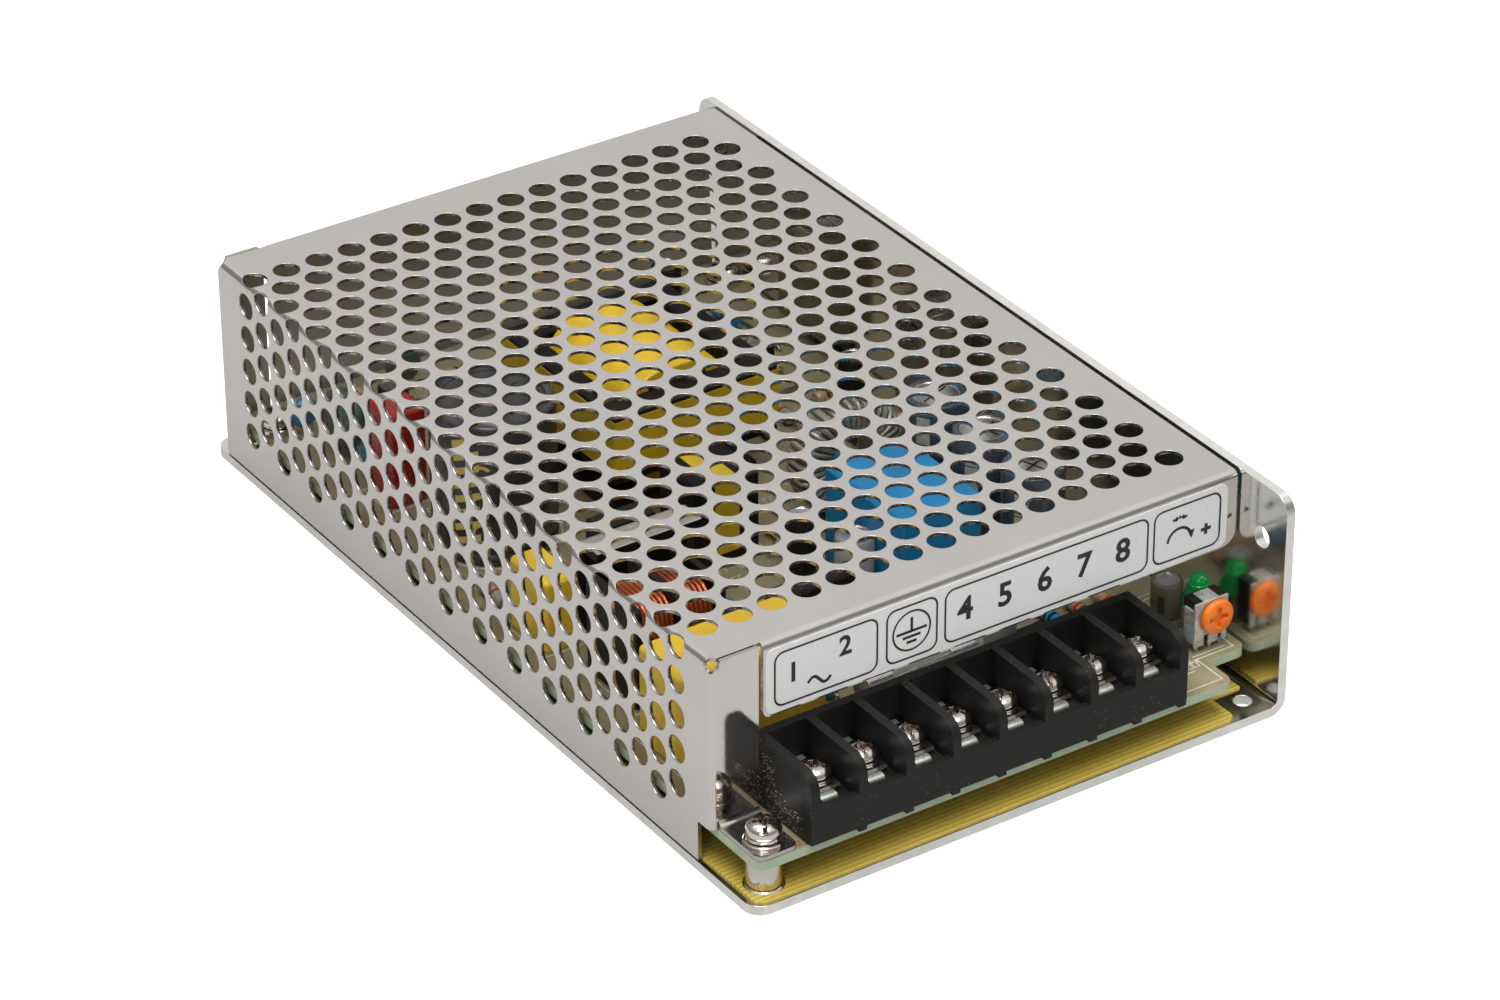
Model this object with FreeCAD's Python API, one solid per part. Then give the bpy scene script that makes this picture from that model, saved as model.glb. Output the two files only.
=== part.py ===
import FreeCAD, Part
import math
import os
from FreeCAD import Vector

# Mesh case switching power supply. Millimetres, Z up, X across, Y from the
# terminals (front, -Y) to the rear. The origin is the middle of the underside.

# Case: plate with one wall, its fixing holes at the front right corner
case_length = 159.0
case_width = 97.0
case_height = 38.0
plate = 1.6
plate_bend = 1.2
plate_corner = 3.0
base_hole = 3.0
base_hole_from_wall = 3.4
base_hole_from_front = 4.1
wall_hole = 3.6
wall_hole_from_front = 5.7
wall_hole_height = 28.9

# Cover, one folded and punched steel sheet
sheet = 0.8
cover_front_setback = 11.5
cover_rear_setback = 3.9
cover_below_wall_top = 0.4
cover_to_wall = 0.4
cover_to_plate_edge = 0.1
cover_side_lift = 0.6
fold_radius = 1.2
lip_depth = 12.6
lip_corner = 2.5
lip_slit = 0.8
corner_strip = 8.4
corner_relief = 1.5
tab_corner = 1.2
notch_depth = 3.4
rear_ear_length = 9.2
rear_ear_depth = 10.6
rear_ear_corner = 1.5

# Punched hole pattern, continued round the left fold
hole_diameter = 4.4
hole_sides = 6
column_step = 3.0
row_step = 5.0
right_hole_margin = 6.2
front_hole_margin = 8.9
rear_hole_margin = 9.2
lowest_side_hole = 8.5

# Circuit board stack
insulation = 0.35
insulation_reach = 0.5
stack_hole_clearance = 0.45
standoff_height = 5.4
standoff_diameter = 5.4
standoff_rivet = 4.2
board = 1.6
board_front_setback = 1.1
board_rear_inset = 0.9
board_side_gap = 0.6
board_wall_gap = 0.4
board_corner = 1.5
board_step_width = 7.4
board_step_depth = 6.4
standoff_from_side = 3.4
standoff_from_front = 3.8
standoff_from_rear = 7.0
mid_standoff_from_front = 38.0

# Screws
thread_diameter = 3.0
thread_clearance = 0.1
pan_head = 5.4
pan_height = 2.2
pan_shoulder = 0.45
pan_curve = 0.82
pan_crown = 0.5
slot_width = 0.9
slot_depth = 0.9
washer_diameter = 6.2
flat_washer = 0.5
spring_washer = 0.8
screw_length = 6.0
side_screw_head = 5.6
side_screw_length = 5.0
countersink_margin = 0.1

# Terminal block
poles = 8
pole_pitch = 8.3
barrier = 1.5
block_depth = 15.2
block_height = 12.0
block_floor = 5.4
block_ledge = 6.0
ledge_wall = 1.1
rear_wall = 1.5
barrier_round = 3.0
block_offset_x = -4.65
nub_drop = 0.8
nub_width = 1.4
contact_width = 5.2
contact_thickness = 0.9
contact_inset = 1.5
contact_tongue_fold = 2.2
contact_tongue_share = 0.7
contact_tongue_rise = 0.72
terminal_screw_setback = 7.1
clamp_washer = 6.2
clamp_washer_thickness = 1.0
clamp_washer_front = 2.48
terminal_thread_length = 4.5
running_clearance = 0.15

# Trimmer, a small rotary potentiometer facing the front
trimmer_from_wall = 5.4
trimmer_from_front = 10.0
trimmer_width = 6.3
trimmer_depth = 3.4
trimmer_height = 7.5
trimmer_foot = 1.3
rotor_diameter = 5.8
rotor_thickness = 0.9
rotor_shift_x = 0.7
rotor_shift_z = 0.7
rotor_spindle = 2.2
rotor_slot = 0.9
rotor_slot_reach = 1.74
spindle_length = 2.04
trimmer_edge = 0.6
trimmer_pin = 0.6
trimmer_pin_side = 2.2

# Indicator lamp
lamp_diameter = 3.0
lamp_flange = 3.6
lamp_from_wall = 3.6
lamp_from_front = 15.6
lamp_foot = 4.4
lamp_body = 4.3
lamp_rim = 0.6
lamp_spacer = 2.4

# Label on the front lip
label_thickness = 0.12
label_margin = 0.3
label_right_margin = 1.8
label_corner = 1.5

# Tall parts on the board
core_length = 34.0
core_width = 30.5
core_height = 12.0
core_back = 5.0
core_leg = 4.0
core_lift = 8.4
winding_width = 21.0
winding_height = 21.2
winding_round = 8.0
bobbin_height = 1.7
tape = 0.4
core_from_left = 47.2
core_from_front = 87.6
bobbin_flange = 2.3
bobbin_to_leg = 2.0

# Choke, discs, fuse, inductor and cans
choke_length = 16.0
choke_depth = 14.0
choke_height = 17.4
choke_bar = 5.0
choke_flange = 1.2
choke_wire_inset = 0.8
choke_wire_round = 3.5
disc_lead = 1.5
lead = 0.6
fuse_length = 20.0
fuse_diameter = 5.2
fuse_lift = 1.0
fuse_clip = 4.0
fuse_clip_wall = 0.5
fuse_clip_inset = 3.0
toroid_diameter = 20.0
toroid_section = 6.4
toroid_rounding = 0.28
can_groove = 0.5
can_groove_height = 2.1
can_bevel = 0.8
block_edge = 0.6
fit = 0.1

# Power parts against the heatsink and the wall
heatsink_sheet = 1.6
device_leg = 0.8
device_leg_width = 1.0
transistor_width = 10.0
transistor_depth = 4.4
transistor_height = 14.0

# Places of the tall parts, measured from the front left corner of the board
tall_blocks = {
    "line_capacitor": (16.5, 31.4, 26.0, 12.0, 16.4),
    "blue_capacitor": (62.0, 52.4, 15.5, 21.0, 17.4),
    "film_capacitor": (9.5, 116.7, 7.0, 7.5, 17.0),
    "yellow_capacitor": (7.0, 69.1, 6.0, 10.5, 12.5),
    "drive_transformer": (42.0, 76.4, 12.0, 11.0, 14.5),
    "bridge_rectifier": (39.0, 43.4, 16.0, 4.0, 12.0),
    "control_chip": (55.0, 134.9, 19.0, 6.4, 3.6),
}
tall_cans = {
    "main_capacitor": (16.0, 97.9, 20.0, 25.0),
    "output_capacitor_1": (78.5, 41.4, 10.0, 20.0),
    "output_capacitor_2": (78.5, 54.4, 10.0, 20.0),
    "output_capacitor_3": (78.5, 67.4, 10.0, 20.0),
    "supply_capacitor": (62.5, 127.4, 8.0, 14.0),
    "lamp_capacitor": (86.9, 18.0, 5.0, 8.4),
}
choke_place = (15.0, 49.9)
disc_places = ((9.0, 132.5, 10.0, 4.0), (9.5, 123.8, 6.0, 3.0))
heatsink_place = (20.5, 66.0, 19.0, 6.0, 17.4)
toroid_place = (66.0, 74.0)
fuse_place = (45.0, 24.4)
wall_device_width = 15.0
wall_device_depth = 4.5
wall_device_height = 19.0
wall_device_lift = 3.0
wall_device_places = (86.0, 120.0)

plate_half = case_width / 2
front = -case_length / 2
rear = case_length / 2
left = -plate_half
right = plate_half
wall_inside = right - plate

cover_top = case_height - cover_below_wall_top
cover_left = left + cover_to_plate_edge
cover_right = wall_inside - cover_to_wall
cover_front = front + cover_front_setback
cover_rear = rear - cover_rear_setback
cover_bottom = plate + cover_side_lift

board_bottom = plate + standoff_height
board_top = board_bottom + board
board_left = cover_left + sheet + board_side_gap
board_right = wall_inside - board_wall_gap
board_front = front + board_front_setback
board_rear = cover_rear - sheet - board_rear_inset
tab_top = board_top + sheet
strip_right = cover_left + corner_strip
core_centre_x = board_left + core_from_left
core_front_y = board_front + core_from_front

base_hole_x = wall_inside - base_hole_from_wall
base_hole_y = front + base_hole_from_front
side_screw_y = cover_rear - rear_ear_length / 2
side_screw_z = cover_top - rear_ear_depth / 2
wall_holes = (
    (front + wall_hole_from_front, wall_hole_height, wall_hole),
    (side_screw_y, side_screw_z, thread_diameter + 2 * thread_clearance),
)

trimmer_x = wall_inside - trimmer_from_wall
trimmer_y = front + trimmer_from_front
trimmer_z0 = board_top + trimmer_foot
rotor_x = trimmer_x + rotor_shift_x
rotor_z = trimmer_z0 + trimmer_height / 2 + rotor_shift_z

standoff_places = (
    (board_left + standoff_from_side, board_front + standoff_from_front),
    (board_left + standoff_from_side, board_rear - standoff_from_rear),
    (board_right - standoff_from_side, board_rear - standoff_from_rear),
    (board_right - standoff_from_side, board_front + mid_standoff_from_front),
)

block_front = front
block_rear = block_front + block_depth
block_top = board_top + block_height
floor_top = board_top + block_floor
barrier_places = [
    block_offset_x + (k - poles / 2) * pole_pitch for k in range(poles + 1)
]
pole_places = [
    block_offset_x + (k - (poles - 1) / 2) * pole_pitch for k in range(poles)
]
terminal_screw_y = block_front + terminal_screw_setback
contact_top = floor_top + contact_thickness

os.makedirs("parts", exist_ok=True)


def box(x0, x1, y0, y1, z0, z1):
    """Block between three pairs of faces."""
    return Part.makeBox(x1 - x0, y1 - y0, z1 - z0, Vector(x0, y0, z0))


def cylinder(x, y, z0, z1, diameter):
    """Upright round bar."""
    return Part.makeCylinder(diameter / 2, z1 - z0, Vector(x, y, z0))


def rounded_face(corners):
    """Flat face in XY through (x, y, radius) corners, each with its own round."""
    edges = []
    starts = []
    ends = []
    rounds = []
    count = len(corners)
    for i, (x, y, radius) in enumerate(corners):
        here = Vector(x, y, 0)
        before = Vector(*corners[i - 1][:2], 0)
        after = Vector(*corners[(i + 1) % count][:2], 0)
        into = (before - here).normalize()
        out = (after - here).normalize()
        half = into.getAngle(out) / 2
        if radius == 0:
            starts.append(here)
            ends.append(here)
            rounds.append(None)
            continue
        reach = radius / math.tan(half)
        centre = here + (into + out).normalize() * (radius / math.sin(half))
        starts.append(here + into * reach)
        ends.append(here + out * reach)
        rounds.append(centre + (here - centre).normalize() * radius)
    for i in range(count):
        if rounds[i] is not None:
            edges.append(Part.Arc(starts[i], rounds[i], ends[i]).toShape())
        following = starts[(i + 1) % count]
        if ends[i].distanceToPoint(following) > 1e-6:
            edges.append(Part.LineSegment(ends[i], following).toShape())
    return Part.Face(Part.Wire(edges))


def rounded_plate(corners, z0, z1):
    """Plate in XY with rounded corners."""
    solid = rounded_face(corners).extrude(Vector(0, 0, z1 - z0))
    solid.translate(Vector(0, 0, z0))
    return solid


def along_x(corners, x0, x1):
    """Section drawn in (y, z) and run along X."""
    solid = rounded_face(corners).extrude(Vector(0, 0, x1 - x0))
    solid.rotate(Vector(0, 0, 0), Vector(1, 1, 1), 120)
    solid.translate(Vector(x0, 0, 0))
    return solid


def along_y(corners, y0, y1):
    """Section drawn in (x, z) and run along Y."""
    solid = rounded_face(corners).extrude(Vector(0, 0, y1 - y0))
    solid.rotate(Vector(0, 0, 0), Vector(1, 0, 0), 90)
    solid.translate(Vector(0, y1, 0))
    return solid


def turned(profile, x, y):
    """Solid of revolution about an upright axis from (radius, z) points."""
    points = [Vector(r, 0, z) for r, z in profile]
    face = Part.Face(Part.makePolygon(points + points[:1]))
    solid = face.revolve(Vector(0, 0, 0), Vector(0, 0, 1), 360)
    solid.translate(Vector(x, y, 0))
    return solid


def rectangle(x0, x1, y0, y1, radius=0):
    """Corner list of a rectangle with one radius."""
    return [(x0, y0, radius), (x1, y0, radius), (x1, y1, radius), (x0, y1, radius)]


def save(shape, name):
    """Write one node."""
    shape.exportStep("parts/" + name + ".step")


def make_chassis():
    """Base plate and right wall, one aluminium sheet bent up."""
    outer = plate_bend + plate
    section = [
        (left, 0, 0),
        (right, 0, outer),
        (right, case_height, 0),
        (wall_inside, case_height, 0),
        (wall_inside, plate, plate_bend),
        (left, plate, 0),
    ]
    body = along_y(section, front, rear)
    base_window = rounded_plate(
        [
            (left, front, plate_corner),
            (right + outer, front, 0),
            (right + outer, rear, 0),
            (left, rear, plate_corner),
        ],
        -plate,
        case_height + plate,
    )
    wall_window = along_x(
        [
            (front, -outer, 0),
            (rear, -outer, 0),
            (rear, case_height, plate_corner),
            (front, case_height, plate_corner),
        ],
        left - outer,
        right + outer,
    )
    body = body.common(base_window).common(wall_window)
    for x, y in standoff_places:
        rivet = standoff_rivet + 2 * thread_clearance
        body = body.cut(cylinder(x, y, -plate, 2 * plate, rivet))
    body = body.cut(cylinder(base_hole_x, base_hole_y, -plate, 2 * plate, base_hole))
    for y, z, diameter in wall_holes:
        bore = Part.makeCylinder(
            diameter / 2, 4 * plate, Vector(right - 2.5 * plate, y, z), Vector(1, 0, 0)
        )
        body = body.cut(bore)
    sink = Part.makeCone(
        thread_diameter / 2,
        side_screw_head / 2 + countersink_margin,
        plate,
        Vector(wall_inside, side_screw_y, side_screw_z),
        Vector(1, 0, 0),
    )
    return body.cut(sink)


def hole_outline(a, b):
    """Corners of one punched hole about the point (a, b)."""
    radius = hole_diameter / 2 / math.cos(math.pi / hole_sides) ** 0.5
    turns = [2 * math.pi * k / hole_sides for k in range(hole_sides)]
    return [(a + radius * math.cos(t), b + radius * math.sin(t)) for t in turns]


def hole_places():
    """Hole centres on the flat sheet: distance right of the fold, and y."""
    places = []
    first_x = cover_right - right_hole_margin
    first_y = cover_front + front_hole_margin
    last_y = cover_rear - rear_hole_margin
    deepest = cover_left - (cover_top - lowest_side_hole)
    rows = int((last_y - first_y) / row_step + 0.5)
    columns = int((first_x - deepest) / column_step)
    for row in range(rows + 1):
        for column in range(row % 2, columns + 1, 2):
            across = first_x - column * column_step - cover_left
            places.append((across, first_y + row * row_step))
    return places


def punched_panel(corner_points, outlines, thickness):
    """Flat panel with one hole for each outline, given its thickness vector."""
    wires = [Part.makePolygon(corner_points + corner_points[:1])]
    for points in outlines:
        wires.append(Part.makePolygon(points + points[:1]))
    return Part.Face(wires).extrude(thickness)


def folded_blank(x0, x1, y0, y1, z0, z1, radius):
    """Solid block with rounded folds; the punched left fold is one flat crease."""
    block = box(x0, x1, y0, y1, z0, z1)
    folds = []
    for edge in block.Edges:
        middle = edge.CenterOfMass
        top = abs(middle.z - z1) < 0.01
        at_left = abs(middle.x - x0) < 0.01
        at_right = abs(middle.x - x1) < 0.01
        upright = abs(middle.z - (z0 + z1) / 2) < 0.01
        if (top and not at_left and not at_right) or (upright and at_left):
            folds.append(edge)
    block = block.makeFillet(radius, folds)
    crease = radius * (2 - math.sqrt(2))
    wedge = along_y([(x0 - radius, z1 + radius, 0),
                     (x0 - radius, z1 - crease - radius, 0),
                     (x0 + crease + radius, z1 + radius, 0)], y0 - radius, y1 + radius)
    return block.cut(wedge)


def make_cover():
    """Perforated cover: top, left side, front lip, rear, strips, tab and ear."""
    reach = hole_diameter / 2 / math.cos(math.pi / hole_sides) ** 0.5
    places = hole_places()
    on_top = [p for p in places if p[0] - reach > fold_radius]
    on_side = [p for p in places if -p[0] - reach > fold_radius]
    on_fold = [p for p in places if p not in on_top and p not in on_side]
    beyond = plate_half

    outside = folded_blank(cover_left, cover_right, cover_front, cover_rear,
                           cover_bottom, cover_top, fold_radius)
    inside = folded_blank(cover_left + sheet, cover_right + beyond,
                          cover_front + sheet, cover_rear - sheet,
                          cover_bottom - beyond, cover_top - sheet,
                          fold_radius - sheet)
    body = outside.cut(inside)

    lip_left = strip_right + lip_slit
    lip_bottom = cover_top - lip_depth
    front_opening = Part.Face(Part.makePolygon([
        Vector(strip_right, 0, cover_bottom - sheet),
        Vector(cover_right + sheet, 0, cover_bottom - sheet),
        Vector(cover_right + sheet, 0, lip_bottom + lip_corner),
        Vector(cover_right, 0, lip_bottom + lip_corner),
        Vector(cover_right - lip_corner * 0.3, 0, lip_bottom + lip_corner * 0.3),
        Vector(cover_right - lip_corner, 0, lip_bottom),
        Vector(lip_left + lip_corner / 2, 0, lip_bottom),
        Vector(lip_left, 0, lip_bottom + lip_corner / 2),
        Vector(lip_left, 0, cover_top - fold_radius),
        Vector(strip_right, 0, cover_top - fold_radius),
        Vector(strip_right, 0, cover_bottom - sheet),
    ])).extrude(Vector(0, 2 * sheet, 0))
    front_opening.translate(Vector(0, cover_front - sheet / 2, 0))
    strip_foot = box(cover_left - sheet, strip_right, cover_front - sheet,
                     cover_front + notch_depth, cover_bottom - sheet, board_top)
    rear_slit = box(strip_right, lip_left, cover_rear - 1.5 * sheet, cover_rear + sheet,
                    cover_bottom - sheet, cover_top - fold_radius)
    body = body.cut(Part.makeCompound([front_opening, strip_foot, rear_slit]))

    tab = rounded_plate([
        (board_left, cover_front + sheet, 0),
        (board_left, board_front, tab_corner),
        (strip_right, board_front, tab_corner),
        (strip_right, cover_front + sheet, 0),
    ], board_top, tab_top)
    tab = tab.cut(cylinder(*standoff_places[0], board_top - sheet, tab_top + sheet,
                           thread_diameter + 2 * thread_clearance))
    ear = along_x([
        (cover_rear - sheet / 2, cover_top - sheet, 0),
        (cover_rear - rear_ear_length, cover_top - sheet, rear_ear_corner),
        (cover_rear - rear_ear_length, cover_top - rear_ear_depth, rear_ear_corner),
        (cover_rear - sheet / 2, cover_top - rear_ear_depth, 0),
    ], cover_right - sheet, cover_right)
    ear = ear.cut(Part.makeCylinder(
        thread_diameter / 2 + thread_clearance, 3 * sheet,
        Vector(cover_right - 2 * sheet, side_screw_y, side_screw_z), Vector(1, 0, 0)))
    relief = [
        cylinder(cover_left + sheet, y, cover_top - 4 * sheet, cover_top + sheet,
                 corner_relief)
        for y in (cover_front + sheet, cover_rear - sheet)
    ]

    x0 = cover_left + fold_radius
    y0 = cover_front + fold_radius
    y1 = cover_rear - fold_radius
    x1 = cover_right - fold_radius
    z0 = cover_bottom + fold_radius
    z1 = cover_top - fold_radius
    notch_y = cover_front + notch_depth + fold_radius
    windows = [
        box(x0, x1, y0, y1, cover_top - 2 * sheet, cover_top + sheet),
        box(cover_left - sheet, cover_left + 2 * sheet, notch_y, y1, z0, z1),
    ]
    body = body.cut(Part.makeCompound(windows + relief))
    base = cover_top - sheet
    top = punched_panel(
        [Vector(x0, y0, base), Vector(x1, y0, base),
         Vector(x1, y1, base), Vector(x0, y1, base)],
        [[Vector(x, y, base) for x, y in hole_outline(cover_left + across, along)]
         for across, along in on_top],
        Vector(0, 0, sheet))
    side = punched_panel(
        [Vector(cover_left, notch_y, z0), Vector(cover_left, y1, z0),
         Vector(cover_left, y1, z1), Vector(cover_left, notch_y, z1)],
        [[Vector(cover_left, y, z) for y, z in hole_outline(along, cover_top + across)]
         for across, along in on_side if along - reach > notch_y],
        Vector(sheet, 0, 0))
    body = body.fuse([top, side, tab, ear]).removeSplitter()

    late = on_fold + [p for p in on_side if p[1] - reach <= notch_y]
    punches = []
    for across, along in late:
        down = Part.Face(Part.makePolygon(
            [Vector(x, y, cover_top - fold_radius)
             for x, y in hole_outline(cover_left + across, along)]
            + [Vector(*hole_outline(cover_left + across, along)[0],
                      cover_top - fold_radius)]))
        through = [Vector(cover_left - sheet, y, z)
                   for y, z in hole_outline(along, cover_top + across)]
        sideways = Part.Face(Part.makePolygon(through + through[:1]))
        punches.append(down.extrude(Vector(0, 0, 2 * fold_radius)))
        punches.append(sideways.extrude(Vector(fold_radius + sheet, 0, 0)))
    return body.cut(punches)


def make_insulating_sheet():
    """Insulating film on the base plate, cut round the standoffs."""
    reach = insulation_reach
    film = rounded_plate(board_corners(reach), plate, plate + insulation)
    clear_of_bend = wall_inside - plate_bend - stack_hole_clearance
    film = film.common(box(left, clear_of_bend, front, rear, 0, board_bottom))
    hole = standoff_diameter + 2 * stack_hole_clearance
    for x, y in standoff_places:
        film = film.cut(cylinder(x, y, 0, 2 * plate + insulation, hole))
    return film


def board_corners(grow=0.0):
    """Board outline with its stepped front right corner, grown by one margin."""
    step_x = board_right - board_step_width
    step_y = board_front + board_step_depth
    return [
        (board_left - grow, board_front - grow, board_corner),
        (step_x + grow, board_front - grow, board_corner),
        (step_x + grow, step_y - grow, 0),
        (board_right, step_y - grow, board_corner),
        (board_right, board_rear, board_corner),
        (board_left - grow, board_rear, board_corner),
    ]


def make_circuit_board():
    """Circuit board, drilled for its standoffs."""
    body = rounded_plate(board_corners(), board_bottom, board_top)
    for x, y in standoff_places:
        body = body.cut(cylinder(x, y, board_bottom - board, board_top + board,
                                 thread_diameter + 2 * thread_clearance))
    return body


def make_standoff(x, y):
    """Riveted round standoff with a threaded bore."""
    body = cylinder(x, y, plate, board_bottom, standoff_diameter)
    body = body.fuse(cylinder(x, y, 0, plate, standoff_rivet))
    bore = thread_diameter + 2 * thread_clearance
    return body.cut(cylinder(x, y, board_top - screw_length - board, case_height, bore))


def make_pan_screw(x, y, seat):
    """Pan head screw with a flat and a spring washer, seated at one height."""
    under = seat + flat_washer + spring_washer
    top = under + pan_height
    shank = thread_diameter / 2
    head = pan_head / 2
    washer = washer_diameter / 2
    screw = turned([
        (0, seat - screw_length + flat_washer),
        (shank, seat - screw_length + flat_washer),
        (shank, seat),
        (washer, seat),
        (washer, seat + flat_washer),
        (head, seat + flat_washer),
        (head, under + pan_height * pan_shoulder),
        (head * pan_curve, under + pan_height * 0.8),
        (head * pan_crown, top),
        (0, top),
    ], x, y)
    slot = box(x - head, x + head, y - slot_width / 2, y + slot_width / 2,
               top - slot_depth, top + slot_depth)
    return screw.cut(slot)


def make_side_screw():
    """Countersunk screw through the right wall into the ear of the cover."""
    profile = [
        (0, right - side_screw_length),
        (thread_diameter / 2, right - side_screw_length),
        (thread_diameter / 2, wall_inside),
        (side_screw_head / 2, right),
        (0, right),
    ]
    screw = turned(profile, 0, 0)
    screw.rotate(Vector(0, 0, 0), Vector(0, 1, 0), 90)
    screw.translate(Vector(0, side_screw_y, side_screw_z))
    return screw


def make_terminal_block():
    """Black barrier block: floor, rear wall, ledge and rounded barriers."""
    x0 = barrier_places[0] - barrier / 2
    x1 = barrier_places[-1] + barrier / 2
    body = along_x([
        (block_front, board_top, 0),
        (block_rear, board_top, 0),
        (block_rear, block_top, 0),
        (block_front, block_top, barrier_round),
    ], x0, x1)
    bays = []
    for x in pole_places:
        half = (pole_pitch - barrier) / 2
        bays.append(box(x - half, x + half, block_front + ledge_wall,
                        block_rear - rear_wall, floor_top, block_top + barrier))
        bays.append(box(x - half, x + half, block_front - barrier,
                        block_rear - rear_wall, board_top + block_ledge,
                        block_top + barrier))
        bays.append(cylinder(x, terminal_screw_y,
                             contact_top - terminal_thread_length - running_clearance,
                             block_top, thread_diameter + 2 * running_clearance))
    body = body.cut(Part.makeCompound(bays))
    nubs = [
        box(x - nub_width / 2, x + nub_width / 2, block_front,
            board_front - thread_clearance, board_top - nub_drop, board_top)
        for x in barrier_places[1:]
    ]
    return body.fuse(nubs).removeSplitter()


def make_terminal_contacts():
    """Plated contact strip on the floor of each bay, its front end folded thick."""
    contacts = []
    for x in pole_places:
        half = contact_width / 2
        y0 = block_front + contact_inset
        y1 = block_rear - rear_wall - running_clearance
        strip = box(x - half, x + half, y0, y1, floor_top, contact_top)
        fold = half * contact_tongue_share
        tongue = box(x - fold, x + fold, y0, y0 + contact_tongue_fold,
                     contact_top, contact_top + contact_tongue_rise)
        bore = cylinder(x, terminal_screw_y, floor_top - barrier, contact_top + barrier,
                        thread_diameter + 2 * running_clearance)
        contacts.append(strip.fuse(tongue).cut(bore))
    return Part.makeCompound(contacts)


def make_terminal_screw(x):
    """Pan head clamp screw with its square washer."""
    y = terminal_screw_y
    seat = contact_top + running_clearance
    under = seat + clamp_washer_thickness
    head = pan_head / 2
    shank = thread_diameter / 2
    body = turned([
        (0, contact_top - terminal_thread_length),
        (shank, contact_top - terminal_thread_length),
        (shank, under),
        (head, under),
        (head, under + pan_height * pan_shoulder),
        (head * pan_curve, under + pan_height * 0.8),
        (head * pan_crown, under + pan_height),
        (0, under + pan_height),
    ], x, y)
    half = clamp_washer / 2
    body = body.fuse(box(x - half, x + half, y - clamp_washer_front, y + half,
                         seat, under))
    top = under + pan_height
    slot = box(x - head, x + head, y - slot_width / 2, y + slot_width / 2,
               top - slot_depth, top + slot_depth)
    return body.cut(slot)


def make_label():
    """Adhesive label on the front lip."""
    return along_y(
        rectangle(strip_right + lip_slit + label_margin,
                  cover_right - label_right_margin,
                  cover_top - lip_depth + label_margin,
                  cover_top - fold_radius, label_corner),
        cover_front - label_thickness, cover_front)


def bar_along_y(x, y0, y1, z, diameter):
    """Round bar along Y."""
    return Part.makeCylinder(diameter / 2, y1 - y0, Vector(x, y0, z), Vector(0, 1, 0))


def make_trimmer_body():
    """Upright trimmer housing with its feet and the bore for the rotor."""
    half = trimmer_width / 2
    y0 = trimmer_y
    y1 = trimmer_y + trimmer_depth
    housing = along_y(rectangle(trimmer_x - half, trimmer_x + half, trimmer_z0,
                                trimmer_z0 + trimmer_height, trimmer_edge), y0, y1)
    pin = trimmer_pin
    feet = [
        box(trimmer_x + side - pin / 2, trimmer_x + side + pin / 2,
            y0 + pin, y0 + 2 * pin, board_top, trimmer_z0)
        for side in (-trimmer_pin_side, trimmer_pin_side)
    ]
    feet.append(box(trimmer_x - pin, trimmer_x + pin, y1 - 2 * pin, y1 - pin,
                    board_top, trimmer_z0))
    bore = bar_along_y(rotor_x, y0 - 1, y0 + spindle_length + running_clearance,
                       rotor_z, rotor_spindle + 2 * running_clearance)
    return housing.fuse(feet).cut(bore)


def make_trimmer_rotor():
    """Slotted disc of the trimmer with its spindle."""
    y1 = trimmer_y - running_clearance
    y0 = y1 - rotor_thickness
    disc = bar_along_y(rotor_x, y0, y1, rotor_z, rotor_diameter)
    spindle = bar_along_y(rotor_x, y1, trimmer_y + spindle_length, rotor_z,
                          rotor_spindle)
    half = rotor_slot_reach
    cross = [
        box(rotor_x - half, rotor_x + half, y0 - 1, y0 + rotor_thickness / 2,
            rotor_z - rotor_slot / 2, rotor_z + rotor_slot / 2),
        box(rotor_x - rotor_slot / 2, rotor_x + rotor_slot / 2, y0 - 1,
            y0 + rotor_thickness / 2, rotor_z - half, rotor_z + half),
    ]
    return disc.fuse(spindle).cut(Part.makeCompound(cross))


def make_indicator_lamp():
    """Round lamp on its spacer."""
    x = wall_inside - lamp_from_wall
    y = front + lamp_from_front
    z0 = board_top + lamp_foot
    dome = lamp_diameter / 2
    profile = [
        (0, board_top),
        (lamp_spacer / 2, board_top),
        (lamp_spacer / 2, z0),
        (lamp_flange / 2, z0),
        (lamp_flange / 2, z0 + lamp_rim),
        (dome, z0 + lamp_rim),
        (dome, z0 + lamp_body),
        (dome * 0.87, z0 + lamp_body + dome * 0.5),
        (dome * 0.5, z0 + lamp_body + dome * 0.87),
        (0, z0 + lamp_body + dome),
    ]
    return turned(profile, x, y)


def make_can(x, y, diameter, height):
    """Upright electrolytic capacitor with its rolled groove and bevelled top."""
    radius = diameter / 2
    z = board_top
    middle = z + can_groove_height
    return turned([
        (0, z), (radius, z), (radius, middle - can_groove),
        (radius - can_groove, middle), (radius, middle + can_groove),
        (radius, z + height - can_bevel), (radius - can_bevel, z + height),
        (0, z + height),
    ], x, y)


def make_transformer_core():
    """Ferrite core lying flat: two backs and two outer legs round the winding."""
    x0 = core_centre_x - core_width / 2
    x1 = core_centre_x + core_width / 2
    y0 = core_front_y
    y1 = core_front_y + core_length
    z0 = board_top + core_lift
    z1 = z0 + core_height
    ring = box(x0, x1, y0, y1, z0, z1)
    window = box(x0 + core_leg, x1 - core_leg, y0 + core_back, y1 - core_back,
                 z0 - core_leg, z1 + core_leg)
    post = box(core_centre_x - core_back, core_centre_x + core_back,
               y0 + core_back, y1 - core_back, z0, z1)
    return ring.cut(window).fuse(post).removeSplitter()


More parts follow.
